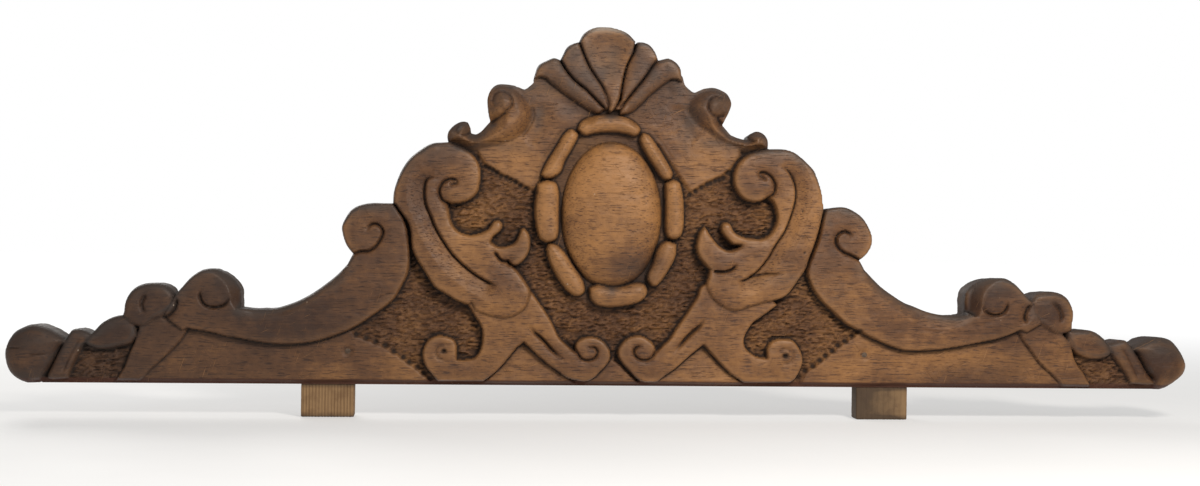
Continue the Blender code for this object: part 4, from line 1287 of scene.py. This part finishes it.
def tenonMesh(word, material):
    look = tenonLook[word]
    low, high = (np.array(corner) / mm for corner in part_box("tenon_" + word))
    middle, half = (low + high) / 2, (high - low) / 2
    counts = [max(4, int(2 * h / tenonShape["step"])) for h in half]
    keys, points, faces = {}, [], []

    def corner(i, j, k):
        key = (i, j, k)
        if key not in keys:
            keys[key] = len(points)
            points.append([2 * i / counts[0] - 1, 2 * j / counts[1] - 1, 2 * k / counts[2] - 1])
        return keys[key]

    for axis in range(3):
        others = [a for a in range(3) if a != axis]
        for end in (0, counts[axis]):
            for i in range(counts[others[0]]):
                for j in range(counts[others[1]]):
                    ids = []
                    for di, dj in ((0, 0), (1, 0), (1, 1), (0, 1)):
                        at = [0, 0, 0]
                        at[axis], at[others[0]], at[others[1]] = end, i + di, j + dj
                        ids.append(corner(*at))
                    faces.append(ids if (end == 0) == (axis == 1) else ids[::-1])
    unit = np.array(points)
    rest = middle + unit * half
    radius = tenonShape["arris"]
    core = np.clip(rest, low + radius, high - radius)
    outward = rest - core
    length = np.linalg.norm(outward, axis=1, keepdims=True)
    outward = np.where(length > 1e-6, outward / np.maximum(length, 1e-6), 0)
    shaped = core + outward * radius
    chance = np.random.default_rng(look["seed"])
    phase = unit[:, 0] * look["turns"] + 0.6 * np.sin(unit[:, 1] * 1.4 + unit[:, 2] * 0.5)
    rings = (0.5 + 0.5 * np.cos(phase * math.pi)) ** 2
    rough = chance.normal(0, tenonShape["saw"], len(unit))
    below = np.clip(1 - (rest[:, 2] - low[2]) / tenonShape["chewedTo"], 0, 1)
    chewed = below * np.abs(chance.normal(0, tenonShape["chewed"], len(unit)))
    depth = look["ridge"] * (1 - rings) + np.abs(rough) + chewed
    shaped -= outward * depth[:, None]
    # Painted shade with some soot: darker on the left side, away from the light, at the foot and at the top
    # under the board.
    nearTop = np.clip((rest[:, 2] - tenonShape["sootAndShadeFrom"]) / tenonShape["sootAndShadeOver"], 0, 1)
    soot = (look["dirtAndShade"] * (1 - 0.7 * unit[:, 0]) + below * tenonShape["footSootAndShade"]
            + nearTop * tenonShape["topSootAndShade"])
    layers = {"rings": rings * look["stripe"], "soot": np.clip(soot, 0, 1)}
    mesh = makeMesh("sawn_tenon_" + word, shaped * mm, faces, layers, [material])
    mesh.validate()
    return addItem("sawn_tenon_" + word, mesh)


softwood = sawnSoftwood()
for word in sides:
    item = tenonMesh(word, softwood)
    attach(item, "root")
    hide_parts("tenon_" + word)
pegSkin = turnedBeech("pegBeech", (400.0, 60.0, 400.0), 0.2)
dowelSkin = turnedBeech("dowelBeech", (400.0, 400.0, 50.0), 1.0)
for name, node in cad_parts.items():
    if name.startswith(("tenon_peg", "lower_dowel", "upper_dowel")):
        node.data.materials.clear()
        node.data.materials.append(pegSkin if "peg" in name else dowelSkin)
print("tenons, pegs and dowels done")

studio = {
    "floorColour": (0.46, 0.455, 0.447),
    "floorMottle": 0.985,
    "floorRadius": 14.0,
    "rimPoints": 96,
    "sky": (1.0, 1.0, 1.0),
    "skyStrength": 0.38,          # what lights the wood
    "skySeen": 1.0,               # what the camera sees behind it
    "floorGlow": (0.40, 0.40, 0.398),
    "floorFade": (0.3, 2.2),      # metres out to where the floor meets the sky
}


def paleFloor():
    paint = Paint("paleFloor", {"swatch": studio["floorColour"], "fixed": {"Specular IOR Level": 0.2}})
    place = paint.place()
    mottle = paint.noise(place, 9.0, 3.0)
    darker = tuple(v * studio["floorMottle"] for v in studio["floorColour"])
    colour = paint.mix(mottle.between(0.3, 0.7), studio["floorColour"], darker)
    rough = 0.7 + (mottle - 0.5) * 0.1
    x, y = paint.axis(place, "X"), paint.axis(place, "Y")
    out = (x * x + y * y) ** 0.5
    colour = paint.mix(out.between(*studio["floorFade"]), colour, (0.0, 0.0, 0.0))
    glow = paint.mix(out.between(*studio["floorFade"]), studio["floorGlow"], studio["sky"])
    paint.feed(baseColor=colour, roughness=rough, glow=glow)
    paint.shader.inputs["Emission Strength"].default_value = studio["skySeen"]
    return paint.material


rim = [(studio["floorRadius"] * math.cos(a), studio["floorRadius"] * math.sin(a), 0)
       for a in np.linspace(0, 2 * math.pi, studio["rimPoints"] + 1)[:-1]]
floorMesh = bpy.data.meshes.new("floor")
floorMesh.from_pydata(rim, [], [list(range(len(rim)))])
floorMesh.materials.append(paleFloor())
floor = addItem("floor", floorMesh)

world = bpy.data.worlds.new("studio")
bpy.context.scene.world = world
world.use_nodes = True
sky = world.node_tree.nodes["Background"]
sky.inputs["Color"].default_value = (*studio["sky"], 1)
seen = world.node_tree.nodes.new("ShaderNodeLightPath")
level = world.node_tree.nodes.new("ShaderNodeMapRange")
level.inputs["To Min"].default_value = studio["skyStrength"]
level.inputs["To Max"].default_value = studio["skySeen"]
world.node_tree.links.new(seen.outputs["Is Camera Ray"], level.inputs["Value"])
world.node_tree.links.new(level.outputs["Result"], sky.inputs["Strength"])

lamps = {
    "key": {"at": (0.34, -0.95, 0.66), "aim": (0.03, 0, 0.14), "size": 0.26, "power": 11.8,
            "colour": (1.0, 0.955, 0.90), "shine": 0.9},
    "behind": {"at": (-0.9, 2.1, 1.3), "aim": (0, 0, 0.1), "size": 1.4, "power": 22,
               "colour": (1.0, 0.98, 0.95), "shine": 0.5},
    "fill": {"at": (-1.1, -1.9, 0.7), "aim": (0, 0, 0.15), "size": 1.2, "power": 2.6,
             "colour": (0.95, 0.97, 1.0), "shine": 0.15},
}
for name, lamp in lamps.items():
    light = bpy.data.lights.new(name, "AREA")
    light.shape, light.size = "DISK", lamp["size"]
    light.energy, light.color, light.specular_factor = lamp["power"], lamp["colour"], lamp["shine"]
    item = addItem(name, light)
    item.location = lamp["at"]
    item.visible_camera = False
    item.rotation_euler = (Vector(lamp["aim"]) - Vector(lamp["at"])).to_track_quat("-Z", "Y").to_euler()

view = {
    "distance": 1.5, "height": 0.150, "aimY": -0.012,                # metres
    "yaw": 4.66, "roll": 0.72,                                       # degrees
    "imageWidth": 1200, "focal": 1778, "shift": (11.0, 1.1),         # in 1200ths of the view's width
    "sensor": 36.0,
}
camera = bpy.data.cameras.new("camera")
camera.sensor_width = view["sensor"]
camera.lens = view["sensor"] * view["focal"] / view["imageWidth"]
camera.shift_x = -view["shift"][0] / view["imageWidth"]
camera.shift_y = -view["shift"][1] / view["imageWidth"]
eye = addItem("camera", camera)
yaw, roll = math.radians(view["yaw"]), math.radians(view["roll"])
backward = Vector((-math.sin(yaw), -math.cos(yaw), 0))
right = Vector((math.cos(yaw), -math.sin(yaw), 0))
up = Vector((0, 0, 1))
rightRolled = right * math.cos(roll) + up * math.sin(roll)
upRolled = up * math.cos(roll) - right * math.sin(roll)
turn = Matrix((rightRolled, upRolled, backward)).transposed()
standsAt = Vector((0, view["aimY"], view["height"])) + backward * view["distance"]
eye.matrix_world = Matrix.Translation(standsAt) @ turn.to_4x4()
bpy.context.scene.camera = eye
bpy.context.scene.view_settings.view_transform = "Standard"
print("studio ready")
